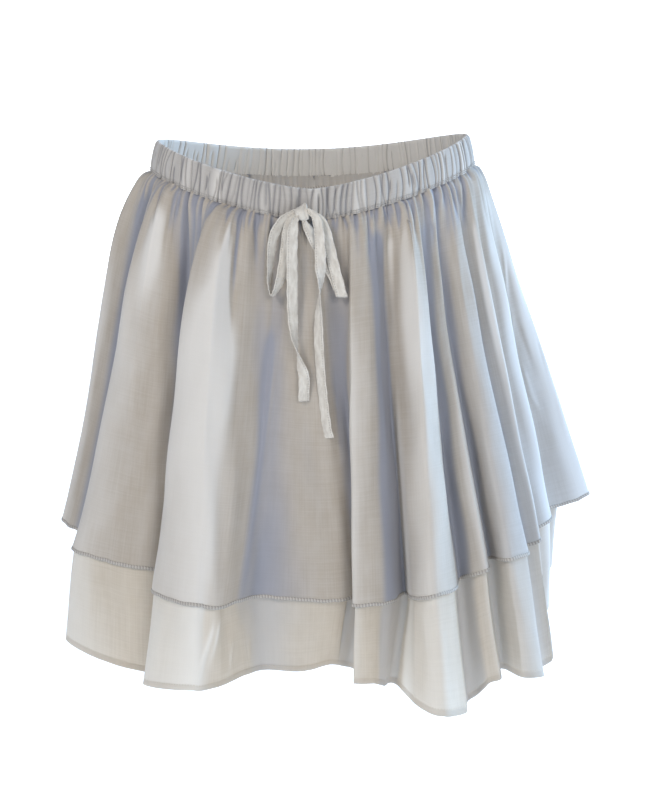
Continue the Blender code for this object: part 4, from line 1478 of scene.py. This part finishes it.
@dataclass
class Waistband:
    """The gathered casing with its elastic, stitched at its foot.

    Places up the band are shares of its height. Each row of the lip is such a share, how far out
    it lies and how much it belongs to the inside.
    """

    waist: Waist
    finish: VoileFinish
    outside: BandGathers = BandGathers(
        3, (0.0023, 0.0066), (0.0009, 0.0022), (0.0005, 0.0011), slant=2.2, share_part=0.40
    )
    inside: BandGathers = BandGathers(
        8, (0.0026, 0.0080), (0.0006, 0.0015), (0.0005, 0.0011), slant=1.0, share_part=0.35
    )
    degree_step: float = 0.25
    face_rows: int = 27
    face_top: float = 0.93
    lip: tuple[tuple[float, float, float], ...] = (
        (0.965, -0.0001, 0.1),
        (0.992, -0.0007, 0.3),
        (1.0, -0.0015, 0.5),
        (0.990, -0.0023, 0.7),
        (0.96, -0.0029, 0.9),
    )
    lining_rows: int = 24
    lining_top: float = 0.92
    stitched: float = 0.12
    pillow: float = 0.0009
    pillow_power: float = 0.8
    lining_pillow: float = 0.0004
    foot_dip: float = 0.0007
    foot_dip_reach: float = 0.10
    pucker: float = 0.00022
    pucker_length: float = 0.0023
    pucker_share: float = 0.08
    pucker_reach: float = 0.07
    unevenness: float = 0.00012
    uneven_waves: int = 8
    uneven_turns: int = 7
    relief_limits: Pair = (-0.0027, 0.001)
    # The painted shade in the band's gathers, and the painted highlight on its inside.
    tone_middle: float = 0.00045
    tone_scale: float = 0.0007
    lining_painted_highlight: float = 1.3
    stitch_shares: Pair = (0.045, 0.115)
    stitch_length: float = 0.0026
    stitch_lift: float = 0.0002
    stitch_dip: float = 0.00034
    stitch_shown: float = 0.35
    stitch_limits: Pair = (-0.8, 0.7)
    thread: float = 0.00028
    thread_sides: int = 6
    thread_side: float = 0.0003

    def build(self) -> None:
        """Makes both halves of the band and their stitching."""
        material = self.finish.build()
        for half, first, last in ((Half.FRONT, -90.0, 90.0), (Half.BACK, 90.0, 270.0)):
            degrees = np.linspace(first, last, round((last - first) / self.degree_step) + 1)
            points, places, fold = self._casing(degrees)
            cloth = plain_map(run_lengths(points[0]), places)
            edge = np.full(cloth.shape, PLAIN_CLOTH)
            band = strip(f"waistband_{half.value}_cloth", points, cloth, material, edge, fold)
            ride(band, Slot.BAND, f"waistband_{half.value}")
            for row, share in enumerate(self.stitch_shares):
                name = f"waistband_{half.value}_stitch_{row + 1}"
                ride(self._stitches(name, share, degrees, material), Slot.BAND)

    def _swelling(self, shares: Array) -> Array:
        """How the casing swells between its stitches and its top, from 0 to 1."""
        return np.sin(np.pi * np.clip((shares - self.stitched) / (1 - self.stitched), 0, 1))

    def _section(self) -> tuple[Array, Array, Array]:
        """The casing's section from its outside foot over its top to its inside foot.

        Returns:
            The share of the height, how far out, and how much inside from 0 to 1.
        """
        up = np.linspace(0.0, self.face_top, self.face_rows)
        outside = self.pillow * self._swelling(up) ** self.pillow_power
        outside -= self.foot_dip * np.exp(-((up / self.foot_dip_reach) ** 2))
        lip_shares, lip_out, lip_within = np.array(self.lip).T
        down = np.linspace(self.lining_top, 0.0, self.lining_rows)
        inside = -self.waist.wall - self.lining_pillow * self._swelling(down)
        heights = np.concatenate([up, lip_shares, down])
        out = np.concatenate([outside, lip_out, inside])
        return heights, out, np.concatenate([np.zeros(len(up)), lip_within, np.ones(len(down))])

    def _surface(self, degrees: Array, share: float, out: Array) -> Array:
        """Points on the casing at a share of its height, moved out."""
        waist = self.waist
        half_width = waist.foot_half_width + (waist.top_half_width - waist.foot_half_width) * share
        half_depth = waist.foot_half_depth + (waist.top_half_depth - waist.foot_half_depth) * share
        flat = waist.oval(degrees, half_width, half_depth)
        flat = flat + waist.outward(degrees, half_width, half_depth) * out[:, None]
        return np.column_stack([flat, waist.top(degrees) - waist.height * (1 - share)])

    def _casing(self, degrees: Array) -> tuple[Array, Array, Array]:
        """The casing over some degrees of the garment.

        Args:
            degrees: the places of its columns.

        Returns:
            Its rows of points, their places along its section and their painted shade and highlight.
        """
        heights, out, within = self._section()
        places = run_lengths(np.column_stack([heights * self.waist.height, out]))
        outer = self._gathers(self.outside, heights)
        inner = self._gathers(self.inside, heights)
        rows = []
        tones = []
        for index, inward in enumerate(within):
            face = self._at(degrees, outer[index]) * (1 - inward)
            lining = self._at(degrees, inner[index]) * inward
            rows.append(self._surface(degrees, float(heights[index]), out[index] + (face - lining)))
            # Painted shade in the gathers' troughs, and a painted highlight on the inside lining.
            sunk = (face + lining + self.tone_middle) / self.tone_scale
            tones.append(np.tanh(sunk) + self.lining_painted_highlight * inward)
        return np.array(rows), places, np.array(tones)

    def _ring_degrees(self) -> Array:
        """Degrees once round the band, from the left-hand side seam."""
        return np.arange(0.0, 360.0, self.degree_step / 2)

    def _at(self, degrees: Array, relief: Array) -> Array:
        """The relief of one level of the band at degrees round the garment."""
        return np.interp((degrees + 90.0) % 360.0, self._ring_degrees(), relief, period=360.0)

    def _gathers(self, sizes: BandGathers, heights: Array) -> Array:
        """The relief of the band's gathers.

        Args:
            sizes: the gathers of one of its faces.
            heights: shares of the band's height.

        Returns:
            The relief [height, degree], once round.
        """
        ring = self._ring_degrees()
        flat = self.waist.foot_oval(ring - 90.0)
        arc = run_lengths(flat)
        length = float(arc[-1] + np.linalg.norm(flat[0] - flat[-1]))
        draw = np.random.default_rng(sizes.seed)
        relief = np.zeros((len(heights), len(ring)))
        place = 0.0
        slant = 0.0
        while place < length - sizes.spacing[0]:
            depth = draw.uniform(*sizes.depth)
            width = draw.uniform(*sizes.width)
            slant = sizes.slant_kept * slant + draw.normal(0.0, sizes.slant * sizes.slant_drawn) * MM
            bow = draw.normal(0.0, sizes.slant * sizes.bow_drawn) * MM
            part = draw.random() < sizes.share_part
            low, high = (draw.uniform(*sizes.starts), draw.uniform(*sizes.ends)) if part else sizes.whole
            at_foot = draw.uniform(*sizes.at_foot)
            for index, share in enumerate(heights):
                middle = place + slant * (share - 0.5) + bow * math.sin(math.pi * share)
                offset = (arc - middle + length / 2) % length - length / 2
                reach = eased((share - low) / sizes.fade) * eased((high - share) / sizes.fade)
                tight = 1.0 + sizes.tighter * math.exp(-((share / sizes.tighter_below) ** 2))
                swell = at_foot + (1 - at_foot) * share
                trough = np.exp(-np.abs(offset / width) ** sizes.power)
                relief[index] -= depth * reach * tight * swell * trough
            place += draw.uniform(*sizes.spacing)
        near_seam = np.exp(-(((heights - self.pucker_share) / self.pucker_reach) ** 2))
        relief += self.pucker * near_seam[:, None] * wave(arc, self.pucker_length)
        turn = np.radians(ring) * self.uneven_turns
        swell = sum(math.cos(k) * np.sin(k * turn + k * k) for k in range(1, self.uneven_waves + 1))
        return np.clip(relief, *self.relief_limits) + self.unevenness * swell

    def _stitches(
        self, name: str, share: float, degrees: Array, material: bpy.types.Material
    ) -> bpy.types.Object:
        """A row of stitches: one thread that dips into the cloth between them.

        Args:
            name: the piece's name.
            share: the row's share of the band's height.
            degrees: the places round the garment that it runs through.
            material: its finish.

        Returns:
            The new piece.
        """
        heights, out, _ = self._section()
        relief = self._at(degrees, self._gathers(self.outside, np.array([share]))[0])
        face = np.interp(share, heights[: self.face_rows], out[: self.face_rows])
        line = self._surface(degrees, share, face + relief)
        places, (line,) = resampled(line, [], self.stitch_length / 8)
        turned = np.degrees(np.arctan2(line[:, 0] - self.waist.centre_x, -line[:, 1]))
        outwards = np.column_stack([self.waist.foot_outward(turned), np.zeros(len(turned))])
        risen = np.clip(wave(places, self.stitch_length) + self.stitch_shown, *self.stitch_limits)
        centre = line + outwards * (self.stitch_lift + self.stitch_dip * risen)[:, None]
        side = unit(np.cross(unit(np.gradient(centre, axis=0)), outwards))
        turns = np.arange(self.thread_sides + 1)
        rows = []
        for angle in turns * 2 * math.pi / self.thread_sides:
            rows.append(centre + (outwards * math.cos(angle) + side * math.sin(angle)) * self.thread)
        cloth = plain_map(places, turns * self.thread_side)
        edge = np.full(cloth.shape, PLAIN_CLOTH)
        fold = np.zeros(cloth.shape[:2])
        return strip(name, np.array(rows), cloth, material, edge, fold, closed=True)


@dataclass
class SeamAllowance:
    """The gathered strip of seam allowance that hangs inside, under the band."""

    cloth: HangingCloth
    finish: VoileFinish
    edging: OverlockFinish
    roll: OverlockRoll = OverlockRoll()
    row_count: int = 9
    drop: float = 0.010
    inset: float = 0.0033
    lean: float = 0.0012
    tuck_up: float = 0.002
    fullness: float = 1.6
    at_seam: float = 0.35
    seed: int = 21
    spacing: Pair = (0.003, 0.0075)
    depth: Pair = (0.0006, 0.0018)
    width: Pair = (0.0009, 0.0017)
    power: float = 1.6
    wave_height: float = 0.0009
    wave_turn: float = 210.0
    # The painted shade and highlight of the strip's gathers.
    tone_middle: float = 0.0004
    tone_scale: float = 0.0009

    def build(self) -> None:
        """Makes both halves and their overlocked edges."""
        material = self.finish.build()
        edging = self.edging.build()
        rings, tones = self._rings()
        for half in Half:
            columns = self.cloth.seam_columns(half)
            rows = rings[:, columns]
            cloth, edge = cloth_maps(rows, rows[-1] * self.fullness)
            edge[..., 1] = PLAIN_CLOTH
            fold = tones[:, columns]
            piece = strip(f"seam_allowance_{half.value}_cloth", rows, cloth, material, edge, fold)
            ride(piece, Slot.UNDER, f"seam_allowance_{half.value}")
            ride(self.roll.build(f"seam_allowance_{half.value}_edge", rows, edging), Slot.UNDER)

    def _rings(self) -> tuple[Array, Array]:
        """The strip's rows, gathered more the further they are from the seam, and their painted shade and
        highlight from the gathers.
        """
        waist = self.cloth.waist
        degrees = self.cloth.columns["waist"]
        flat = waist.foot_oval(degrees)
        out = waist.foot_outward(degrees)
        arc = run_lengths(flat)
        relief = self._relief(arc, arc[-1] + float(np.linalg.norm(flat[0] - flat[-1])))
        shares = np.linspace(0.0, 1.0, self.row_count)
        grown = self.at_seam + (1 - self.at_seam) * shares
        rows = []
        for share, gathered in zip(shares, grown):
            moved = -self.inset - self.lean * share + relief * gathered
            hang = (self.drop - self.wave_height * np.sin(arc * self.wave_turn) * share) * share
            rows.append(np.column_stack([flat + out * moved[:, None], waist.foot(degrees) - hang]))
        rows[0][:, 2] += self.tuck_up
        # Painted shade and highlight from the gathers' relief.
        tone = -np.tanh((relief + self.tone_middle) / self.tone_scale)
        return np.array(rows), tone * grown[:, None]

    def _relief(self, arc: Array, length: float) -> Array:
        """The troughs of the strip's gathers along the seam, once round."""
        draw = np.random.default_rng(self.seed)
        relief = np.zeros(len(arc))
        place = 0.0
        while place < length - self.spacing[0]:
            offset = (arc - place + length / 2) % length - length / 2
            depth = draw.uniform(*self.depth)
            width = draw.uniform(*self.width)
            relief -= depth * np.exp(-np.abs(offset / width) ** self.power)
            place += draw.uniform(*self.spacing)
        return relief


# The drawstring


class Bend(NamedTuple):
    """A place on a tape's route: across, height, stand-off from the cloth and turn in degrees."""

    x: float
    z: float
    lift: float
    turn: float


class Route(NamedTuple):
    """A tape of the drawstring: the CAD node that it replaces, its bends and its far end."""

    node: str
    far_end: str
    bends: tuple[Bend, ...]
    pinched_ends: int = 1


ROUTES: tuple[Route, ...] = (
    Route(
        "drawstring_loop_left",
        "object",
        (
            Bend(-0.0102, -0.0334, 0.0046, 0),
            Bend(-0.0157, -0.0342, 0.0048, 10),
            Bend(-0.0220, -0.0383, 0.0044, 20),
            Bend(-0.0283, -0.0448, 0.0040, 25),
            Bend(-0.0330, -0.0538, 0.0040, 30),
            Bend(-0.0349, -0.0652, 0.0046, 38),
            Bend(-0.0361, -0.0799, 0.0060, 55),
            Bend(-0.0373, -0.0945, 0.0070, 78),
            Bend(-0.0349, -0.1031, 0.0072, 90),
            Bend(-0.0306, -0.0970, 0.0068, 108),
            Bend(-0.0267, -0.0856, 0.0056, 140),
            Bend(-0.0244, -0.0734, 0.0044, 165),
            Bend(-0.0228, -0.0595, 0.0040, 178),
            Bend(-0.0212, -0.0473, 0.0048, 180),
            Bend(-0.0178, -0.0383, 0.0056, 180),
            Bend(-0.0112, -0.0346, 0.0050, 180),
        ),
        2,
    ),
    Route(
        "drawstring_loop_right",
        "object",
        (
            Bend(-0.0087, -0.0342, 0.0052, 0),
            Bend(-0.0032, -0.0346, 0.0058, 0),
            Bend(0.0023, -0.0383, 0.0058, 0),
            Bend(0.0074, -0.0456, 0.0056, 0),
            Bend(0.0109, -0.0571, 0.0054, 0),
            Bend(0.0140, -0.0701, 0.0052, 0),
            Bend(0.0172, -0.0831, 0.0052, 0),
            Bend(0.0207, -0.0962, 0.0054, 0),
            Bend(0.0219, -0.1010, 0.0054, 0),
            Bend(0.0223, -0.1027, 0.0049, 0),
            Bend(0.0223, -0.1035, 0.0036, 0),
            Bend(0.0221, -0.1027, 0.0023, 0),
            Bend(0.0211, -0.1002, 0.0018, 0),
            Bend(0.0164, -0.0888, 0.0016, 0),
            Bend(0.0101, -0.0766, 0.0016, 0),
            Bend(0.0031, -0.0636, 0.0016, 0),
            Bend(-0.0032, -0.0513, 0.0016, 0),
            Bend(-0.0079, -0.0424, 0.0024, 0),
            Bend(-0.0090, -0.0366, 0.0040, 0),
        ),
        2,
    ),
    Route(
        "drawstring_tail_left",
        "bare",
        (
            Bend(-0.0106, -0.0346, 0.0056, 0),
            Bend(-0.0150, -0.0391, 0.0074, 0),
            Bend(-0.0174, -0.0473, 0.0084, 0),
            Bend(-0.0181, -0.0595, 0.0084, 0),
            Bend(-0.0182, -0.0845, 0.0080, 0),
            Bend(-0.0180, -0.1172, 0.0056, 8),
            Bend(-0.0166, -0.1357, 0.0058, 36),
            Bend(-0.0148, -0.1451, 0.0062, 60),
            Bend(-0.0115, -0.1595, 0.0060, 120),
            Bend(-0.0088, -0.1706, 0.0046, 155),
            Bend(-0.0090, -0.1921, 0.0030, 180),
        ),
    ),
    Route(
        "drawstring_tail_right",
        "bare",
        (
            Bend(-0.0092, -0.0334, 0.0056, 0),
            Bend(-0.0040, -0.0332, 0.0074, 0),
            Bend(0.0007, -0.0372, 0.0086, 0),
            Bend(0.0035, -0.0473, 0.0088, 0),
            Bend(0.0046, -0.0620, 0.0084, 10),
            Bend(0.0050, -0.0800, 0.0076, 52),
            Bend(0.0054, -0.0895, 0.0070, 88),
            Bend(0.0041, -0.1037, 0.0062, 132),
            Bend(0.0033, -0.1290, 0.0040, 176),
            Bend(0.0045, -0.1595, 0.0028, 180),
            Bend(0.0070, -0.1878, 0.0026, 180),
            Bend(0.0107, -0.2163, 0.0026, 180),
            Bend(0.0124, -0.2233, 0.0026, 180),
        ),
    ),
)


class KnotRing(NamedTuple):
    """A level of the bow's knot: height, half width, half depth and sideways shift."""

    z: float
    half_width: float
    half_depth: float
    shift: float


class KnotGroove(NamedTuple):
    """A groove round the knot: its depth, its place at the foot, its climb and its reach."""

    depth: float
    foot: float
    climb: float
    reach: float


@dataclass
class Drawstring:
    """The flat tape tied in a bow: two loops, two free ends and the knot between them."""

    finish: TapeFinish
    width: float = 0.0092
    wall: float = 0.0012
    samples: int = 4
    fine: int = 6
    pinch: float = 0.40
    pinch_reach: float = 0.020
    knot_x: float = -0.0101
    knot_z: float = -0.0345
    knot_lift: float = 0.0050
    rings: tuple[KnotRing, ...] = (
        KnotRing(-0.0066, 0.0030, 0.0012, 0.0006),
        KnotRing(-0.0054, 0.0048, 0.0026, 0.0006),
        KnotRing(-0.0028, 0.0055, 0.0038, 0.0001),
        KnotRing(0.0002, 0.0056, 0.0042, -0.0003),
        KnotRing(0.0026, 0.0050, 0.0038, -0.0002),
        KnotRing(0.0044, 0.0036, 0.0028, 0.0010),
        KnotRing(0.0060, 0.0020, 0.0018, 0.0020),
        KnotRing(0.0078, 0.0005, 0.0007, 0.0026),
    )
    ring_steps: int = 6
    knot_sides: int = 48
    knot_squareness: float = 0.62
    knot_wrap: float = 0.004
    grooves: tuple[KnotGroove, ...] = (
        KnotGroove(0.0011, 0.80, -0.5, 0.15),
        KnotGroove(0.0009, -0.75, 0.9, 0.14),
    )
    shares: tuple[float, ...] = (-1, -0.94, -0.8, -0.55, -0.28, 0.0, 0.28, 0.55, 0.70, 0.8, 0.94, 1.0)
    edge_thinning: float = 0.75
    edge_power: int = 8
    edge_wave: float = 0.00018
    edge_length: float = 0.013
    sewn_share: float = 0.74
    sewn_reach: float = 0.07
    sewn_dent: float = 0.00020
    sewn_dip: float = 0.00012
    sewn_length: float = 0.0022
    pucker: float = 0.00012
    pucker_length: float = 0.0046
    pucker_phase: float = 2.0
    pucker_middle: float = 0.4
    crumple: float = 0.0012
    crumple_turn: float = 7.0

    def build(self) -> None:
        material = self.finish.build()
        tree = self._packed_cloth()
        knot = self._knot(tree, material)
        ride(knot, Slot.TAPE, "drawstring_knot")
        for index, route in enumerate(ROUTES):
            line, turn = self._route(route, tree)
            tape = self._tape(f"{route.node}_tape", line, turn, route.pinched_ends, material)
            ride(tape, Slot.TAPE, route.node)

    def _packed_cloth(self) -> BVHTree:
        """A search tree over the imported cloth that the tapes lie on."""
        points: list[Vector] = []
        faces: list[list[int]] = []
        for name in ("waistband_front", "tier_front"):
            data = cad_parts[name].data
            offset = len(points)
            points.extend(vert.co.copy() for vert in data.vertices)
            faces.extend([offset + index for index in poly.vertices] for poly in data.polygons)
        return BVHTree.FromPolygons(points, faces)

    @staticmethod
    def _cloth_front(tree: BVHTree, x: float, z: float, half_width: float) -> float:
        """The foremost cloth behind a strip of this half width."""
        depths = []
        for offset in (-1.0, -0.5, 0.0, 0.5, 1.0):
            place, *_ = tree.ray_cast(Vector((x + offset * half_width, -1.0, z)), Vector((0.0, 1.0, 0.0)))
            if place is not None:
                depths.append(place.y)
        return min(depths)

    def _route(self, route: Route, tree: BVHTree) -> tuple[Array, Array]:
        """A tape's centre line just off the cloth, and its turn in radians.

        Args:
            route: the tape's bends.
            tree: the cloth behind it.

        Returns:
            The line's points and the turn at each.
        """
        path = open_curve(np.array(route.bends, dtype=float), self.samples, 3)
        depth = np.array([self._cloth_front(tree, x, z, self.width / 2) for x, z in path[:, :2]])
        reach = self.samples
        depth = np.array([depth[max(0, k - reach) : k + reach + 1].min() for k in range(len(depth))])
        kernel = np.ones(2 * reach + 1) / (2 * reach + 1)
        depth = np.convolve(np.pad(depth, reach, mode="edge"), kernel, mode="valid")
        line = np.column_stack([path[:, 0], depth - path[:, 2], path[:, 1], np.radians(path[:, 3])])
        smooth = open_curve(line, self.fine, 3)
        return smooth[:, :3], smooth[:, 3]

    @staticmethod
    def _directions(line: Array, turn: Array) -> tuple[Array, Array]:
        """The directions across a tape and through it, carried along its line and turned."""
        tangent = unit(np.gradient(line, axis=0))
        across = [np.cross(tangent[0], np.array([0.0, -1.0, 0.0]))]
        for direction in tangent:
            carried = across[-1] - direction * np.dot(across[-1], direction)
            across.append(carried / np.linalg.norm(carried))
        flat = np.array(across[1:])
        facing = np.cross(flat, tangent)
        wide = flat * np.cos(turn)[:, None] + facing * np.sin(turn)[:, None]
        thick = facing * np.cos(turn)[:, None] - flat * np.sin(turn)[:, None]
        return wide, thick

    def _height(self, side: float, share: float, places: Array, broad: Array) -> Array:
        """How far a line of a tape's face lies from the tape's middle.

        Args:
            side: 1 on the front face and -1 on the back one.
            share: its share of the half width.
            places: lengths along the tape.
            broad: the share of its width that the tape has at each.

        Returns:
            The distances.
        """
        half = self.wall / 2 * (1 - self.edge_thinning * abs(share) ** self.edge_power)
        sewn = math.exp(-(((share - self.sewn_share) / self.sewn_reach) ** 2))
        dent = sewn * (self.sewn_dent + self.sewn_dip * wave(places, self.sewn_length))
        ruffle = wave(places, self.pucker_length, share * self.pucker_phase)
        pucker = self.pucker * ruffle * (self.pucker_middle + abs(share))
        crumple = (1 - broad) * self.crumple * math.cos(share * self.crumple_turn)
        return side * (half - dent) + pucker + crumple

    def _tape(
        self, name: str, line: Array, turn: Array, pinched_ends: int, material: bpy.types.Material
    ) -> bpy.types.Object:
        """One flat tape with rounded edges, small puckers and a sewn row along one edge.

        Args:
            name: the piece's name.
            line: its centre line, from the knot.
            turn: how far it is turned there, in radians.
            pinched_ends: how many of its ends are drawn into the knot.
            material: its finish.

        Returns:
            The new piece, a closed tube.
        """
        wide, thick = self._directions(line, turn)
        places = run_lengths(line)
        from_knot = places if pinched_ends == 1 else np.minimum(places, places[-1] - places)
        broad = self.pinch + (1 - self.pinch) * eased(from_knot / self.pinch_reach)
        shares = [*self.shares, *self.shares[::-1], self.shares[0]]
        sides = [1.0] * len(self.shares) + [-1.0] * len(self.shares) + [1.0]
        faces = []
        for side, share in zip(sides, shares):
            edge = broad * share * self.width / 2
            edge = edge + self.edge_wave * wave(places, self.edge_length) * share
            height = self._height(side, share, places, broad)
            faces.append(line + wide * edge[:, None] + thick * height[:, None])
        cloth = plain_map(places, np.array(shares) * self.width / 2)
        return strip(name, np.array(faces), cloth, material, closed=True)

    def _knot(self, tree: BVHTree, material: bpy.types.Material) -> bpy.types.Object:
        """The knot, a turn of tape drawn tight round the crossing, with a pointed fold on top."""
        depth = self._cloth_front(tree, self.knot_x, self.knot_z, self.width / 2) - self.knot_lift
        levels = open_curve(np.array(self.rings, dtype=float), self.ring_steps, 1)
        angles = np.arange(self.knot_sides + 1) * 2 * math.pi / self.knot_sides
        across = squared_off(np.cos(angles), self.knot_squareness)
        along = squared_off(np.sin(angles), self.knot_squareness)
        rows = []
        for z, half_width, half_depth, shift in levels:
            share = (z - self.rings[0].z) / (self.rings[-1].z - self.rings[0].z)
            sunk = sum(
                groove.depth * np.exp(-(((across - groove.foot - groove.climb * share) / groove.reach) ** 2))
                for groove in self.grooves
            )
            x = self.knot_x + shift + across * half_width
            y = depth + along * half_depth * (1 - sunk / max(half_depth, MM))
            rows.append(np.column_stack([x, y, np.full(len(angles), self.knot_z + z)]))
        points = np.array(rows)
        around = np.broadcast_to(np.sin(angles) * self.knot_wrap, points.shape[:2])
        cloth = np.stack([points[..., 2], around], axis=-1)
        return strip("drawstring_knot_tape", points, cloth, material, closed=True)


# The studio


@dataclass(frozen=True)
class Lamp:
    """A soft area light: its place, its aim, its size, power and colour."""

    name: str
    place: tuple[float, float, float]
    aim: tuple[float, float, float]
    size: Pair
    power: float
    colour: tuple[float, float, float]


@dataclass
class Studio:
    """The pale floor, the soft lights and the camera of the photograph's view."""

    floor_level: float = -0.75
    floor_half: float = 30.0
    floor_glow: float = 0.46
    wall_back: float = 3.0
    wall_half: float = 1.3
    wall_glow: float = 0.90
    target: tuple[float, float, float] = (0.0066, 0.0, -0.222)
    distance: float = 1.8
    elevation: float = 16.0
    pixel: float = 0.88 * MM
    image_height: int = 807
    sensor: float = 36.0
    world: Colour = (0.46, 0.66, 1.0, 1.0)
    world_strength: float = 0.34
    lamps: tuple[Lamp, ...] = (
        Lamp("key", (-1.6, -1.9, 1.9), (0.0, 0.0, -0.2), (0.8, 0.8), 42.0, (1.0, 0.94, 0.86)),
        Lamp("front_fill", (1.0, -2.4, 1.2), (0.1, 0.0, -0.2), (1.0, 1.0), 24.0, (1.0, 0.95, 0.88)),
        Lamp("sky_side", (2.2, 0.6, 0.6), (0.1, 0.0, -0.2), (1.0, 1.4), 78.0, (0.48, 0.71, 1.0)),
        Lamp("back_wash", (0.2, 2.2, 1.2), (0.0, 0.0, -0.3), (2.0, 1.6), 12.0, (1.0, 0.97, 0.92)),
    )

    def camera(self) -> None:
        """Makes the camera at the photograph's angle."""
        turn = math.radians(self.elevation)
        back = Vector((0.0, -math.cos(turn), math.sin(turn)))
        data = bpy.data.cameras.new("camera")
        data.sensor_width = self.sensor
        data.lens = self.distance / self.pixel / self.image_height * self.sensor
        made = bpy.data.objects.new("camera", data)
        made.location = Vector(self.target) + back * self.distance
        made.rotation_mode = "QUATERNION"
        made.rotation_quaternion = (-back).to_track_quat("-Z", "Y")
        bpy.context.scene.collection.objects.link(made)
        bpy.context.scene.camera = made

    def build(self) -> None:
        """Makes the floor, the wall and the lights."""
        level = Matrix.Translation((0.0, 0.0, self.floor_level))
        self._board("floor", self.floor_half, level, self.floor_glow)
        upright = Matrix.Translation((0.0, self.wall_back, 0.0)) @ Matrix.Rotation(math.radians(90.0), 4, "X")
        self._board("wall", self.wall_half, upright, self.wall_glow)
        world = bpy.data.worlds.new("studio")
        world.use_nodes = True
        background = world.node_tree.nodes["Background"]
        background.inputs[0].default_value = self.world
        background.inputs[1].default_value = self.world_strength
        bpy.context.scene.world = world
        bpy.context.scene.view_settings.view_transform = "Standard"
        for lamp in self.lamps:
            self._light(lamp)

    @staticmethod
    def _board(name: str, half: float, place: Matrix, glow: float) -> None:
        """Makes one white board of the studio.

        Args:
            name: the board's name.
            half: half its width.
            place: where it stands.
            glow: how much light it gives off.
        """
        mesh = bmesh.new()
        bmesh.ops.create_grid(mesh, x_segments=4, y_segments=4, size=half)
        bmesh.ops.transform(mesh, matrix=place, verts=mesh.verts)
        data = bpy.data.meshes.new(name)
        mesh.to_mesh(data)
        mesh.free()
        data.materials.append(BoardFinish(f"studio_{name}", glow).build())
        board = bpy.data.objects.new(name, data)
        bpy.context.scene.collection.objects.link(board)

    @staticmethod
    def _light(lamp: Lamp) -> None:
        """One soft area light."""
        data = bpy.data.lights.new(lamp.name, "AREA")
        data.shape = "RECTANGLE"
        data.size, data.size_y = lamp.size
        data.energy = lamp.power
        data.color = lamp.colour
        made = bpy.data.objects.new(lamp.name, data)
        made.location = lamp.place
        made.rotation_mode = "QUATERNION"
        made.rotation_quaternion = (Vector(lamp.aim) - Vector(lamp.place)).to_track_quat("-Z", "Y")
        bpy.context.scene.collection.objects.link(made)


# The band's voile, with its own painted shade for its gathers and painted highlight for its crests.
BAND_FINISH = VoileFinish(
    "band_voile",
    colour=(0.41, 0.38, 0.345, 1.0),
    pale=(0.46, 0.43, 0.395, 1.0),
    painted_fold_shade=(0.24, 0.235, 0.24, 1.0),
    crest=(0.76, 0.72, 0.66, 1.0),
    share_through=0.05,
)
TIER_FINISH = VoileFinish("tier_voile")
# The tier's voile with paler, warmer colours and a lighter painted fold shade: painted light that shines
# through the single layer, beside its real share of light let through.
UNDER_FINISH = VoileFinish(
    "under_voile",
    colour=(0.49, 0.412, 0.315, 1.0),
    pale=(0.58, 0.505, 0.41, 1.0),
    painted_fold_shade=(0.43, 0.42, 0.42, 1.0),
    crest=(0.86, 0.84, 0.79, 1.0),
    doubled=(0.60, 0.55, 0.48, 1.0),
    through=(0.80, 0.73, 0.62, 1.0),
    share_through=0.26,
    turned_hem=0.0048,
)
ALLOWANCE_FINISH = VoileFinish("allowance_voile", colour=(0.50, 0.48, 0.455, 1.0))


def main() -> None:
    """Builds the camera, the drawstring, the sewn pieces and the studio in order."""
    logging.basicConfig(level=logging.INFO, format="%(name)s %(message)s")
    studio = Studio()
    studio.camera()
    Drawstring(TapeFinish("tape_cotton")).build()
    waist = Waist()
    cloth = HangingCloth(waist)
    edging = OverlockFinish("overlock_thread")
    Waistband(waist, BAND_FINISH).build()
    Tier(cloth, TIER_FINISH, edging).build()
    UnderLayer(cloth, UNDER_FINISH).build()
    SeamAllowance(cloth, ALLOWANCE_FINISH, edging).build()
    studio.build()


if __name__ == "__main__":
    main()
